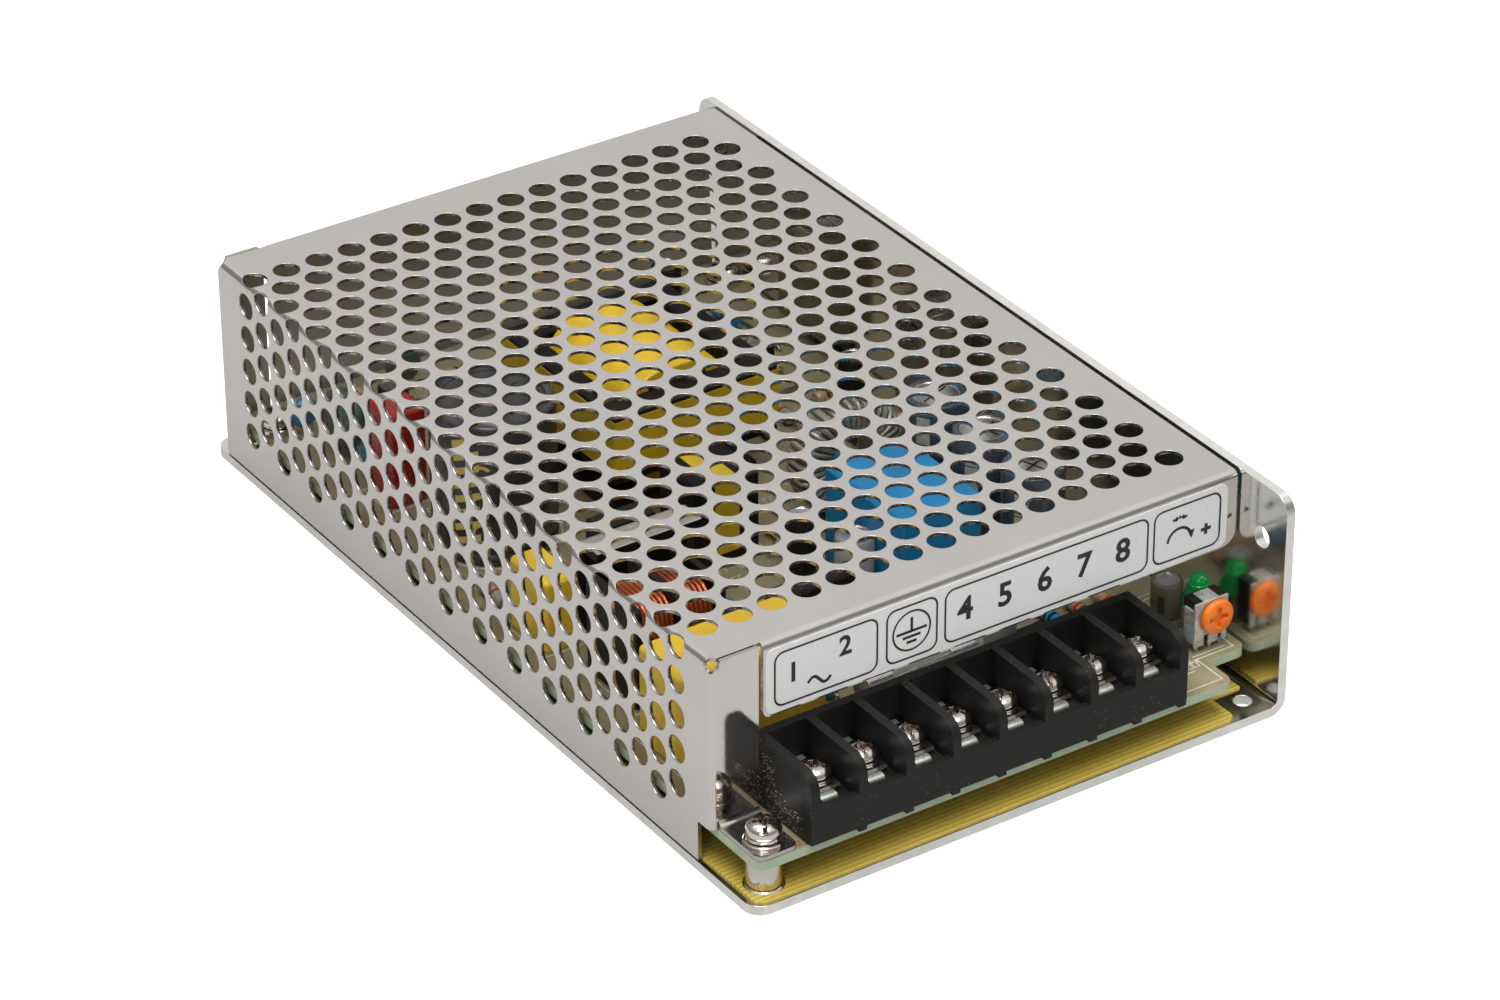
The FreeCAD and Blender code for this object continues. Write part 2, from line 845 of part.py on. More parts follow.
def make_transformer_winding():
    """Taped winding on its bobbin, threaded by the core's middle leg."""
    half = winding_width / 2
    y0 = core_front_y + core_back + tape
    y1 = core_front_y + core_length - core_back - tape
    z0 = board_top + bobbin_height
    z1 = z0 + winding_height
    coil = along_y(rectangle(core_centre_x - half, core_centre_x + half,
                             z0, z1, winding_round), y0, y1)
    foot = core_width / 2 - bobbin_to_leg
    base = box(core_centre_x - foot, core_centre_x + foot, y0 - core_back / 2,
               y1 + core_back / 2, board_top, board_top + bobbin_flange)
    zc = board_top + core_lift
    bore = box(core_centre_x - core_back - tape, core_centre_x + core_back + tape,
               y0 - core_leg, y1 + core_leg, zc - tape, zc + core_height + tape)
    return coil.fuse(base).cut(bore)


def make_block(x, y, width, depth, height):
    """Upright moulded block on the board, centred on (x, y)."""
    body = box(x - width / 2, x + width / 2, y - depth / 2, y + depth / 2,
               board_top, board_top + height)
    edges = [e for e in body.Edges if e.CenterOfMass.z > board_top + fit]
    return body.makeChamfer(block_edge, edges)


def make_choke_core(x, y):
    """Line choke former: ferrite bar with end and middle flanges on a base."""
    half = choke_length / 2
    z0 = board_top
    z1 = board_top + choke_height
    core_z = board_top + choke_height / 2
    body = box(x - half, x + half, y - choke_bar / 2, y + choke_bar / 2,
               core_z - choke_bar / 2, core_z + choke_bar / 2)
    flange_y = choke_depth / 2
    flanges = [
        along_x(rectangle(y - flange_y, y + flange_y, z0, z1, choke_flange),
                x + s * (half - choke_flange / 2) - choke_flange / 2,
                x + s * (half - choke_flange / 2) + choke_flange / 2)
        for s in (-1, 0, 1)
    ]
    return body.fuse(flanges)


def make_choke_winding(x, y):
    """Two copper windings side by side on the choke former."""
    span = (choke_length - 3 * choke_flange) / 2
    inset = choke_wire_inset
    core_z = board_top + choke_height / 2
    reach = choke_depth / 2 - inset
    rise = choke_height / 2 - inset
    coils = []
    for s in (-1, 1):
        middle = x + s * (span + choke_flange) / 2
        coil = along_x(rectangle(y - reach, y + reach, core_z - rise, core_z + rise,
                                 choke_wire_round),
                       middle - span / 2 + fit, middle + span / 2 - fit)
        gap = choke_bar / 2 + fit
        bore = box(middle - span, middle + span, y - gap, y + gap,
                   core_z - gap, core_z + gap)
        coils.append(coil.cut(bore))
    return Part.makeCompound(coils)


def make_disc(x, y, diameter, thickness):
    """Upright disc capacitor on its two leads, facing the side panel."""
    z = board_top + disc_lead + diameter / 2
    disc = Part.makeCylinder(diameter / 2, thickness,
                             Vector(x - thickness / 2, y, z), Vector(1, 0, 0))
    edges = [e for e in disc.Edges if isinstance(e.Curve, Part.Circle)]
    disc = disc.makeChamfer(thickness * 0.3, edges)
    leads = [
        box(x - lead / 2, x + lead / 2, y + side - lead / 2, y + side + lead / 2,
            board_top, z - diameter * 0.3)
        for side in (-diameter / 4, diameter / 4)
    ]
    return disc.fuse(leads)


def make_heatsink(x, y, width, depth, height):
    """Folded aluminium heatsink: upright plate with a shelf toward the front."""
    thickness = heatsink_sheet
    return along_x([
        (y, board_top, 0),
        (y, board_top + height, thickness),
        (y - depth, board_top + height, 0),
        (y - depth, board_top + height - thickness, 0),
        (y - thickness, board_top + height - thickness, 0),
        (y - thickness, board_top, 0),
    ], x - width / 2, x + width / 2)


def make_power_device(x0, x1, y, width, lift, height):
    """Moulded power transistor or rectifier with its three legs, facing a wall."""
    body = box(x0, x1, y - width / 2, y + width / 2,
               board_top + lift, board_top + lift + height)
    middle = (x0 + x1) / 2
    legs = [
        box(middle - device_leg / 2, middle + device_leg / 2,
            y + side - device_leg_width / 2, y + side + device_leg_width / 2,
            board_top, board_top + lift)
        for side in (-width / 3, 0, width / 3)
    ]
    return body.fuse(legs)


def make_fuse(x, y):
    """Glass fuse lying along X between two spring clips."""
    radius = fuse_diameter / 2
    z = board_top + fuse_lift + radius
    half = fuse_length / 2
    width = radius + fuse_clip_wall
    tube = Part.makeCylinder(radius, fuse_length, Vector(x - half, y, z), Vector(1, 0, 0))
    clips = [
        box(x + side - fuse_clip / 2, x + side + fuse_clip / 2, y - width,
            y + width, board_top, z)
        for side in (fuse_clip_inset - half, half - fuse_clip_inset)
    ]
    return tube.fuse(clips)


def make_toroid(x, y):
    """Wound output inductor standing on edge across the board."""
    outer = toroid_diameter / 2
    inner = outer - toroid_section
    half = toroid_section / 2
    round_off = toroid_section * toroid_rounding
    section = [
        (outer, half - round_off), (outer - round_off, half),
        (inner + round_off, half), (inner, half - round_off),
        (inner, round_off - half), (inner + round_off, -half),
        (outer - round_off, -half), (outer, round_off - half),
    ]
    ring = turned(section, 0, 0)
    ring.rotate(Vector(0, 0, 0), Vector(1, 0, 0), 90)
    ring.translate(Vector(x, y, board_top + outer))
    return ring


def from_corner(x, y):
    """Place on the board from its front left corner."""
    return board_left + x, board_front + y


def main():
    save(make_chassis(), "chassis")
    save(make_cover(), "cover")
    save(make_insulating_sheet(), "insulating_sheet")
    save(make_circuit_board(), "circuit_board")
    for k, (x, y) in enumerate(standoff_places, 1):
        save(make_standoff(x, y), "standoff_%d" % k)
        if k == 1:
            save(make_pan_screw(x, y, tab_top), "tab_screw")
        else:
            save(make_pan_screw(x, y, board_top), "board_screw_%d" % (k - 1))
    save(make_side_screw(), "cover_side_screw")
    save(make_terminal_block(), "terminal_block")
    save(make_terminal_contacts(), "terminal_contacts")
    for k, x in enumerate(pole_places, 1):
        save(make_terminal_screw(x), "terminal_screw_%d" % k)
    save(make_label(), "front_label")
    save(make_trimmer_body(), "trimmer_body")
    save(make_trimmer_rotor(), "trimmer_rotor")
    save(make_indicator_lamp(), "indicator_lamp")
    save(make_transformer_core(), "transformer_core")
    save(make_transformer_winding(), "transformer_winding")
    for name, (x, y, width, depth, height) in tall_blocks.items():
        save(make_block(*from_corner(x, y), width, depth, height), name)
    for name, (x, y, diameter, height) in tall_cans.items():
        save(make_can(*from_corner(x, y), diameter, height), name)
    choke = from_corner(*choke_place)
    save(make_choke_core(*choke), "choke_former")
    save(make_choke_winding(*choke), "choke_windings")
    discs = [make_disc(*from_corner(x, y), d, t) for x, y, d, t in disc_places]
    save(Part.makeCompound(discs), "disc_capacitors")
    x, y, width, depth, height = heatsink_place
    x, y = from_corner(x, y)
    save(make_heatsink(x, y, width, depth, height), "primary_heatsink")
    half = transistor_depth / 2
    transistor = make_power_device(-half, half, 0, transistor_width,
                                   wall_device_lift, transistor_height)
    transistor.rotate(Vector(0, 0, 0), Vector(0, 0, 1), 90)
    transistor.translate(Vector(x, y + half, 0))
    save(transistor, "power_transistor")
    for k, along in enumerate(wall_device_places, 1):
        save(make_power_device(wall_inside - wall_device_depth, wall_inside,
                               board_front + along, wall_device_width,
                               wall_device_lift, wall_device_height),
             "wall_rectifier_%d" % k)
    save(make_toroid(*from_corner(*toroid_place)), "output_inductor")
    save(make_fuse(*from_corner(*fuse_place)), "line_fuse")


if __name__ == "__main__":
    main()
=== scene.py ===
import math
import random

import bmesh
import bpy
from bpy.props import FloatProperty, FloatVectorProperty, IntProperty, PointerProperty
from mathutils import Matrix, Vector


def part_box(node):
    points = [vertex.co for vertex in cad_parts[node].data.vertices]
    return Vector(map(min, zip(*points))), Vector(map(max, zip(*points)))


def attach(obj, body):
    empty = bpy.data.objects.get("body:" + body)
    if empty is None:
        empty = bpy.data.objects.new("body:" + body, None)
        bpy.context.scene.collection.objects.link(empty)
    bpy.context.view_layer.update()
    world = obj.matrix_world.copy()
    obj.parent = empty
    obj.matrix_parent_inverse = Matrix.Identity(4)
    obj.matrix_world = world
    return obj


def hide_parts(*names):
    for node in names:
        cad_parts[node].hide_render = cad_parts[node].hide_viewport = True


bl_info = {
    "name": "Mesh case power supply",
    "version": (1, 0, 0),
    "blender": (4, 5, 0),
    "location": "View3D > Sidebar > Supply",
    "description": "Dresses the packed model of a mesh case power supply",
    "category": "Object",
}

MM = 0.001
BODY = "supply"
SCREWS = 8
EPSILON = 0.01 * MM
TAB_BEND = 0.9 * MM
EAR_LOW = 10.6 * MM
PLATE_TOP = 1.6 * MM
TAB_TOP = 0.8 * MM
CONTACT_TOP = 14.7 * MM
BORE = 1.6 * MM
SHAFT = 1.45 * MM
HEAD_RADIUS = 2.7 * MM
HEAD_HEIGHT = 2.15 * MM
LEAD = 0.28 * MM
PRINT_LINE = 0.34 * MM
PRINT_OUT = 0.03 * MM
FLAT = 0.99
FOLD_STEPS = 6
FASTENER = {"bevel": 0.07 * MM, "segments": 1, "sharp": 40}

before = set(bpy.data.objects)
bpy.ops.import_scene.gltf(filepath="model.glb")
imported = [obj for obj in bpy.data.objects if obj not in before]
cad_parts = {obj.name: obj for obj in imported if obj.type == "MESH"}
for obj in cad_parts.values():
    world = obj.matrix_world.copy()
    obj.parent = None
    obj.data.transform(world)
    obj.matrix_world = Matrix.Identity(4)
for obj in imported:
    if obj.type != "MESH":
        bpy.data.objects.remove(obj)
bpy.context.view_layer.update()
case_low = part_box("chassis")[0]
cover_low, cover_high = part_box("cover")
board_low, board_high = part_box("circuit_board")
block_low, block_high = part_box("terminal_block")
label_low, label_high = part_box("front_label")
lip_front = label_high.y
tab_top = board_high.z + TAB_TOP


def length(name, text, size):
    """A length in millimetres that a user may change."""
    return FloatProperty(name=name, description=text, default=size * MM, unit="LENGTH")


def colour(name, text, value):
    return FloatVectorProperty(
        name=name, description=text, subtype="COLOR", size=3, default=value, min=0, max=1
    )


def place(name, text, value):
    return FloatVectorProperty(
        name=name, description=text, subtype="XYZ", size=3, default=value, unit="LENGTH"
    )


def amount(name, text, value, low=0.0):
    return FloatProperty(name=name, description=text, default=value, min=low)


class SheetSizes(bpy.types.PropertyGroup):
    """Sizes of the punched cover."""

    sheet: length("Sheet", "Thickness of the cover", 0.65)
    hole: length("Hole", "Diameter of a punched hole", 4.4)
    column: length("Column step", "Half the pitch across", 3.0)
    row: length("Row step", "Pitch along the case", 5.0)
    right_margin: length("Right margin", "Last holes to the right edge", 6.2)
    front_margin: length("Front margin", "First row to the front fold", 8.9)
    rear_margin: length("Rear margin", "Last row to the rear fold", 9.2)
    lowest: length("Lowest hole", "Height of the lowest side holes", 8.5)
    rim: length("Rim", "Rounding left by the punch", 0.07)
    fold: length("Fold", "Outer radius of the folds", 1.2)
    strip: length("Strip", "Width of the corner strips", 8.4)
    slit: length("Slit", "Gap between strip and lip", 0.8)
    lip: length("Lip", "Depth of the front lip", 12.6)
    seam: length("Seam", "Gap between the top's edge and a strip", 0.2)
    drop: length("Drop", "Step from the top down to a strip", 0.1)
    relief: length("Relief", "Radius of the hole at a folded corner", 1.9)
    sides: IntProperty(
        name="Hole sides", description="Straight sides of one round hole", default=20, min=8
    )


class FinishColours(bpy.types.PropertyGroup):
    """Colours that a user may want to change."""

    steel: colour("Plated steel", "Cover", (0.66, 0.63, 0.60))
    aluminium: colour("Aluminium", "Base plate and wall", (0.76, 0.75, 0.71))
    nickel: colour("Nickel", "Screws and contacts", (0.72, 0.66, 0.60))
    moulding: colour("Black moulding", "Terminal block", (0.010, 0.0098, 0.009))
    film: colour("Insulating film", "Amber sheet on the base", (0.60, 0.455, 0.08))
    board: colour("Board", "Laminate of the board", (0.27, 0.235, 0.135))
    label: colour("Label", "Front label", (0.73, 0.73, 0.71))
    tape: colour("Yellow tape", "Transformer tape", (0.92, 0.60, 0.02))
    blue: colour("Blue box", "Large film capacitor", (0.01, 0.27, 0.58))
    orange: colour("Orange", "Trimmer disc", (0.92, 0.20, 0.01))
    green: colour("Green", "Indicator lamp", (0.0, 0.42, 0.09))
    copper: colour("Copper", "Enamelled wire", (0.52, 0.13, 0.045))


class StudioValues(bpy.types.PropertyGroup):
    """Camera and light of the studio."""

    camera_place: place("Camera", "Place of the lens", (-0.41565, -0.62895, 0.47433))
    aim: place("Aim", "Point in the middle of the picture", (0.0, -0.00595, 0.01707))
    roll: FloatProperty(
        name="Roll", description="Turn about the line of sight", default=math.radians(-0.178),
        subtype="ANGLE",
    )
    lens: amount("Lens", "Focal length in millimetres", 135.36, 10.0)
    sky: amount("Room", "Brightness of the studio walls", 0.85)
    key: amount("Key", "Power of the large overhead light", 12.0)
    fill: amount("Fill", "Power of the front light", 2.8)


def sheet():
    return bpy.context.scene.supply_sheet


# Node helpers

def feed(tree, socket, value):
    """Join a socket to another one, or set its plain value."""
    if isinstance(value, bpy.types.NodeSocket):
        tree.links.new(value, socket)
    else:
        socket.default_value = value


def add_node(tree, kind, *places, **names):
    """New shader node, with its inputs by place, and inputs or options by name."""
    node = tree.nodes.new(kind)
    for key, value in names.items():
        if key in node.inputs:
            feed(tree, node.inputs[key], value)
        else:
            setattr(node, key, value)
    for socket, value in zip(node.inputs, places):
        feed(tree, socket, value)
    return node


def calculated(tree, operation, *values):
    """Result of a maths node."""
    return add_node(tree, "ShaderNodeMath", *values, operation=operation).outputs[0]


def mixed(tree, share, first, second):
    """Result of mixing two colours."""
    mix = add_node(tree, "ShaderNodeMix", share, data_type="RGBA")
    feed(tree, mix.inputs[6], first)
    feed(tree, mix.inputs[7], second)
    return mix.outputs[2]


def new_group(name, inputs, outputs):
    """Empty node group, with its input values, the object's coordinates and its results."""
    group = bpy.data.node_groups.new(name, "ShaderNodeTree")
    for label, value in inputs.items():
        kind = "Float" if isinstance(value, float) else ("Vector", "Color")[len(value) - 3]
        item = group.interface.new_socket(
            label, in_out="INPUT", socket_type="NodeSocket" + kind
        )
        item.default_value = value
    for label, kind in outputs.items():
        group.interface.new_socket(label, in_out="OUTPUT", socket_type="NodeSocket" + kind)
    given = group.nodes.new("NodeGroupInput").outputs
    where = add_node(group, "ShaderNodeTexCoord").outputs["Object"]
    return group, given, where, group.nodes.new("NodeGroupOutput").inputs


def stretched_noise(group, given, where, detail):
    """Noise at the group's own scale and stretch."""
    spread = add_node(group, "ShaderNodeVectorMath", where, given["Stretch"], operation="MULTIPLY")
    cloud = add_node(group, "ShaderNodeTexNoise", Vector=spread.outputs[0], Scale=given["Scale"],
                     Detail=detail)
    return cloud.outputs["Fac"]


def make_mottle_group():
    """Slow cloudy change between two colours."""
    group, given, where, out = new_group(
        "supply_mottle",
        {"Colour": (0.5, 0.5, 0.5, 1), "Other": (0.4, 0.4, 0.4, 1), "Scale": 60.0,
         "Amount": 0.5, "Stretch": (1, 1, 1)},
        {"Colour": "Color"},
    )
    cloud = stretched_noise(group, given, where, 3.0)
    span = add_node(group, "ShaderNodeMapRange", cloud, 0.35, 0.65)
    share = calculated(group, "MULTIPLY", span.outputs[0], given["Amount"])
    feed(group, out[0], mixed(group, share, given["Colour"], given["Other"]))


def make_grain_group():
    """Fine grain: a value for roughness and a normal."""
    group, given, where, out = new_group(
        "supply_grain",
        {"Scale": 900.0, "Stretch": (1, 1, 1), "Low": 0.3, "High": 0.4, "Strength": 0.1,
         "Distance": 0.05 * MM},
        {"Roughness": "Float", "Normal": "Vector"},
    )
    cloud = stretched_noise(group, given, where, 4.0)
    span = add_node(group, "ShaderNodeMapRange", cloud, 0.3, 0.7, given["Low"], given["High"])
    bump = add_node(group, "ShaderNodeBump", Height=cloud, Strength=given["Strength"],
                    Distance=given["Distance"])
    feed(group, out[0], span.outputs[0])
    feed(group, out[1], bump.outputs[0])


def make_speck_group():
    """Scattered specks of dust as a mask."""
    group, given, where, out = new_group(
        "supply_specks", {"Scale": 900.0, "Size": 0.16, "Share": 0.5}, {"Mask": "Float"}
    )
    cells = add_node(group, "ShaderNodeTexVoronoi", Vector=where, Scale=given["Scale"])
    near = calculated(group, "LESS_THAN", cells.outputs["Distance"], given["Size"])
    patches = add_node(group, "ShaderNodeTexNoise", Vector=where, Scale=160.0)
    patch = calculated(group, "GREATER_THAN", patches.outputs["Fac"], given["Share"])
    feed(group, out[0], calculated(group, "MULTIPLY", near, patch))


def make_stripe_group():
    """Parallel stripes along one axis as a mask."""
    group, given, where, out = new_group(
        "supply_stripes",
        {"Direction": (0, 1, 0), "Pitch": 0.001, "Softness": 0.4, "Width": 0.5},
        {"Mask": "Float"},
    )
    along = add_node(group, "ShaderNodeVectorMath", where, given["Direction"], operation="DOT_PRODUCT")
    turns = calculated(group, "DIVIDE", along.outputs["Value"], given["Pitch"])
    wave = calculated(group, "PINGPONG", turns, 0.5)
    double = calculated(group, "MULTIPLY", wave, 2.0)
    low = calculated(group, "SUBTRACT", given["Width"], given["Softness"])
    high = calculated(group, "ADD", given["Width"], given["Softness"])
    feed(group, out[0], add_node(group, "ShaderNodeMapRange", double, low, high).outputs[0])


def group_results(tree, name, **values):
    """Outputs of a shared node group that is placed with its own values."""
    node = tree.nodes.new("ShaderNodeGroup")
    node.node_tree = bpy.data.node_groups[name]
    for key, value in values.items():
        feed(tree, node.inputs[key], value)
    return node.outputs


def rgba(value, factor=1.0):
    return tuple(channel * factor for channel in value[:3]) + (1.0,)


def shaded(name, values, **grain):
    """New material with a fine grain and other values of its shader; returns it and them."""
    material = bpy.data.materials.new(name)
    material.use_nodes = True
    tree = material.node_tree
    sockets = tree.nodes["Principled BSDF"].inputs
    fine = group_results(tree, "supply_grain", **grain)
    feed(tree, sockets["Roughness"], fine["Roughness"])
    for key, value in values.items():
        feed(tree, sockets[key], value)
    return material, tree, sockets, fine["Normal"]


def surface(name, tone, other, rough, metal, cloud, amount, grain, bump, spread=0.06,
            depth=0.02 * MM, stretch=(1, 1, 1), coat=0.0, level=0.5):
    """Material with a cloudy colour, uneven roughness and a fine grain.

    The other colour of the clouds is given as it is, or as a share of the first.
    """
    material, tree, sockets, normal = shaded(
        name,
        {"Metallic": metal, "Coat Weight": coat, "Coat Roughness": 0.1,
         "Specular IOR Level": level},
        Scale=grain, Stretch=stretch, Low=max(rough - spread, 0.02), High=rough + spread,
        Strength=bump, Distance=depth,
    )
    second = rgba(tone, other) if isinstance(other, float) else rgba(other)
    tint = group_results(
        tree, "supply_mottle", Colour=rgba(tone), Other=second, Scale=cloud, Amount=amount,
        Stretch=stretch,
    )
    feed(tree, sockets["Base Color"], tint[0])
    feed(tree, sockets["Normal"], normal)
    return material


def clear_plastic(name, tone, rough, transmission, painted_glow=0.0):
    """Tinted see-through plastic or glass; its painted glow is emission in its own colour, which is
    painted light.
    """
    return shaded(
        name,
        {"Base Color": rgba(tone), "Transmission Weight": transmission, "IOR": 1.5,
         "Emission Color": rgba(tone), "Emission Strength": painted_glow},
        Scale=500.0, Low=rough * 0.8, High=rough * 1.3, Strength=0.03,
    )[0]


def tint_over(material, group, tone, **values):
    """Lay a second colour over a material's own wherever a group's mask is 1."""
    tree = material.node_tree
    base = tree.nodes["Principled BSDF"].inputs["Base Color"]
    mask = group_results(tree, group, **values)[0]
    feed(tree, base, mixed(tree, mask, base.links[0].from_socket, rgba(tone)))


def make_materials():
    """Every finish on the supply, by a plain name."""
    tints = bpy.context.scene.supply_colours
    # Key, material, colour, other colour, roughness, metal, clouds and their strength,
    # grain and its height.
    rows = (
        ("steel", "plated_steel", tints.steel, 0.86, 0.08, 1.0, 90, 0.35, 2200, 0.05,
         {"spread": 0.03, "depth": 0.004 * MM, "stretch": (1, 0.25, 0.6)}),
        ("steel_cut", "steel_cut_edge", rgba(tints.steel, 0.74), 0.86, 0.26, 1.0, 60, 0.6,
         1500, 0.12),
        ("steel_inner", "steel_inner_face", tints.steel, 0.86, 0.42, 0.8, 90, 0.6, 1500, 0.08),
        ("aluminium", "aluminium_sheet", tints.aluminium, 0.86, 0.16, 1.0, 50, 0.35, 900, 0.12,
         {"spread": 0.05, "depth": 0.008 * MM, "stretch": (1, 0.12, 2.2)}),
        ("aluminium_cut", "aluminium_cut_edge", rgba(tints.aluminium, 1.12), 0.86, 0.38, 1.0,
         400, 0.7, 1800, 0.3),
        ("nickel", "nickel_plate", tints.nickel, 0.7, 0.13, 1.0, 300, 0.5, 1300, 0.12),
        ("contact", "contact_plate", (0.72, 0.74, 0.64), (0.45, 0.50, 0.42), 0.3, 0.85, 400,
         0.6, 1500, 0.3),
        ("moulding", "black_moulding", tints.moulding, 0.86, 0.42, 0.0, 200, 0.6, 1600, 0.18,
         {"level": 0.22}),
        ("moulding_dusty", "dusty_moulding", tints.moulding, 0.86, 0.40, 0.0, 200, 0.6, 1600,
         0.25, {"level": 0.25}),
        ("sleeve_olive", "olive_sleeve", (0.13, 0.115, 0.065), (0.18, 0.16, 0.10), 0.42, 0.0,
         260, 0.7, 900, 0.08),
        ("can_satin", "can_satin", (0.55, 0.54, 0.52), (0.30, 0.29, 0.27), 0.30, 0.75, 420,
         0.7, 900, 0.25),
        ("film", "insulating_film", tints.film, 0.8, 0.26, 0.0, 120, 0.5, 600, 0.1),
        ("board", "board_laminate", tints.board, 0.72, 0.42, 0.0, 130, 0.7, 2400, 0.12,
         {"coat": 0.2}),
        ("board_edge", "board_edge", (0.30, 0.40, 0.28), (0.44, 0.45, 0.32), 0.55, 0.0, 350,
         0.8, 2600, 0.3),
        ("silk", "board_print", (0.62, 0.62, 0.52), (0.42, 0.41, 0.30), 0.6, 0.0, 900, 0.8,
         900, 0.08),
        ("label", "label_film", tints.label, (0.67, 0.68, 0.68), 0.30, 0.0, 26, 0.8, 700, 0.02,
         {"spread": 0.03, "coat": 0.3}),
        ("ink", "label_ink", (0.006, 0.006, 0.007), 0.86, 0.45, 0.0, 700, 0.6, 900, 0.08),
        ("tape", "yellow_tape", tints.tape, 0.78, 0.34, 0.0, 110, 0.8, 500, 0.08,
         {"coat": 0.25}),
        # Darker copy of the yellow tape for the upright tape on the cores: painted shade.
        ("tape_dark", "yellow_tape_front", (0.66, 0.45, 0.02), (0.50, 0.34, 0.015), 0.38, 0.0,
         110, 0.7, 500, 0.08),
        ("yellow", "yellow_box", (0.86, 0.58, 0.04), (0.66, 0.40, 0.02), 0.36, 0.0, 150, 0.7,
         1300, 0.16),
        ("blue", "blue_box", tints.blue, 0.62, 0.34, 0.0, 90, 0.6, 1200, 0.14),
        ("red", "red_box", (0.34, 0.022, 0.012), 0.86, 0.28, 0.0, 120, 0.6, 900, 0.1),
        ("ferrite", "ferrite", (0.007, 0.007, 0.008), (0.016, 0.015, 0.013), 0.5, 0.0, 200,
         0.8, 1600, 0.3, {"level": 0.15}),
        ("sleeve", "black_sleeve", (0.018, 0.018, 0.022), (0.05, 0.05, 0.055), 0.30, 0.0, 140,
         0.7, 900, 0.06),
        ("sleeve_grey", "grey_sleeve", (0.05, 0.065, 0.08), (0.09, 0.10, 0.115), 0.28, 0.0,
         140, 0.7, 900, 0.06, {"coat": 0.3}),
        ("heatsink", "heatsink_sheet", (0.66, 0.64, 0.60), (0.40, 0.38, 0.35), 0.38, 0.8, 240,
         0.6, 900, 0.2),
        ("can_top", "can_top", (0.045, 0.045, 0.045), (0.03, 0.03, 0.03), 0.5, 0.0, 150, 0.6,
         900, 0.08, {"level": 0.3}),
        ("can_metal", "can_aluminium", (0.75, 0.75, 0.75), 0.86, 0.24, 1.0, 200, 0.6, 900, 0.1),
        ("gold_print", "gold_print", (0.62, 0.44, 0.10), 0.86, 0.45, 0.0, 500, 0.6, 900, 0.08),
        ("copper", "copper_wire", tints.copper, 0.5, 0.26, 0.6, 240, 0.7, 700, 0.06),
        ("varnished", "varnished_wire", (0.38, 0.36, 0.29), (0.24, 0.22, 0.17), 0.32, 0.35,
         240, 0.7, 700, 0.06),
        ("disc_blue", "disc_coating", (0.02, 0.19, 0.36), 0.86, 0.3, 0.0, 220, 0.6, 900, 0.08,
         {"coat": 0.3}),
        ("disc_green", "disc_green_coating", (0.05, 0.085, 0.055), 0.86, 0.3, 0.0, 220, 0.6,
         900, 0.08, {"coat": 0.3}),
        ("tan", "resistor_tan", (0.42, 0.27, 0.14), 0.86, 0.4, 0.0, 500, 0.6, 900, 0.1,
         {"coat": 0.3}),
        ("band_red", "band_red", (0.45, 0.02, 0.01), 0.86, 0.4, 0.0, 500, 0.6, 900, 0.08),
        ("band_brown", "band_brown", (0.07, 0.025, 0.012), 0.86, 0.4, 0.0, 500, 0.6, 900, 0.08),
        ("grey", "grey_ceramic", (0.34, 0.33, 0.30), (0.20, 0.20, 0.19), 0.5, 0.0, 260, 0.7,
         900, 0.15),
        ("white_body", "trimmer_frame", (0.62, 0.60, 0.54), (0.30, 0.29, 0.26), 0.3, 0.45, 500,
         0.7, 1100, 0.15),
        ("orange", "trimmer_orange", tints.orange, 0.72, 0.34, 0.0, 500, 0.6, 1500, 0.1),
        ("rust", "rust_spot", (0.24, 0.09, 0.025), 0.86, 0.7, 0.0, 1500, 0.6, 900, 0.08),
        ("solder", "solder", (0.60, 0.60, 0.58), 0.86, 0.2, 1.0, 700, 0.6, 1500, 0.2),
    )
    made = {}
    for key, name, tone, other, *numbers in rows:
        options = numbers.pop() if isinstance(numbers[-1], dict) else {}
        made[key] = surface(name, tone, other, *numbers, **options)
    for key, scale, size, share, tone in (
        ("moulding", 1500, 0.16, 0.60, (0.10, 0.095, 0.085)),
        ("moulding_dusty", 2300, 0.24, 0.50, (0.50, 0.46, 0.40)),
        ("board", 700, 0.10, 0.55, (0.42, 0.38, 0.24)),
    ):
        tint_over(made[key], "supply_specks", tone, Scale=scale, Size=size, Share=share)
    tint_over(made["film"], "supply_stripes", rgba(tints.film, 0.64), Direction=(0, 1, 0),
              Pitch=0.94 * MM, Width=0.5, Softness=0.3)
    # The green lens and its holder glow faintly in their own colour: painted light that brightens the
    # green plastic.
    made["lamp"] = clear_plastic("green_lens", tints.green, 0.12, 0.55, painted_glow=0.12)
    made["lamp_dark"] = clear_plastic("green_holder", (0.02, 0.40, 0.11), 0.2, 0.35, painted_glow=0.05)
    made["glass"] = clear_plastic("fuse_glass", (0.86, 0.90, 0.88), 0.05, 0.9)
    return made


finishes = {}


# Mesh helpers

def paint(faces, index):
    for face in faces:
        face.material_index = index


def absorb(bm, mesh, index=0):
    """Add a mesh to a bmesh in one finish, and discard it."""
    known = set(bm.faces)
    bm.from_mesh(mesh)
    paint([face for face in bm.faces if face not in known], index)
    bpy.data.meshes.remove(mesh)


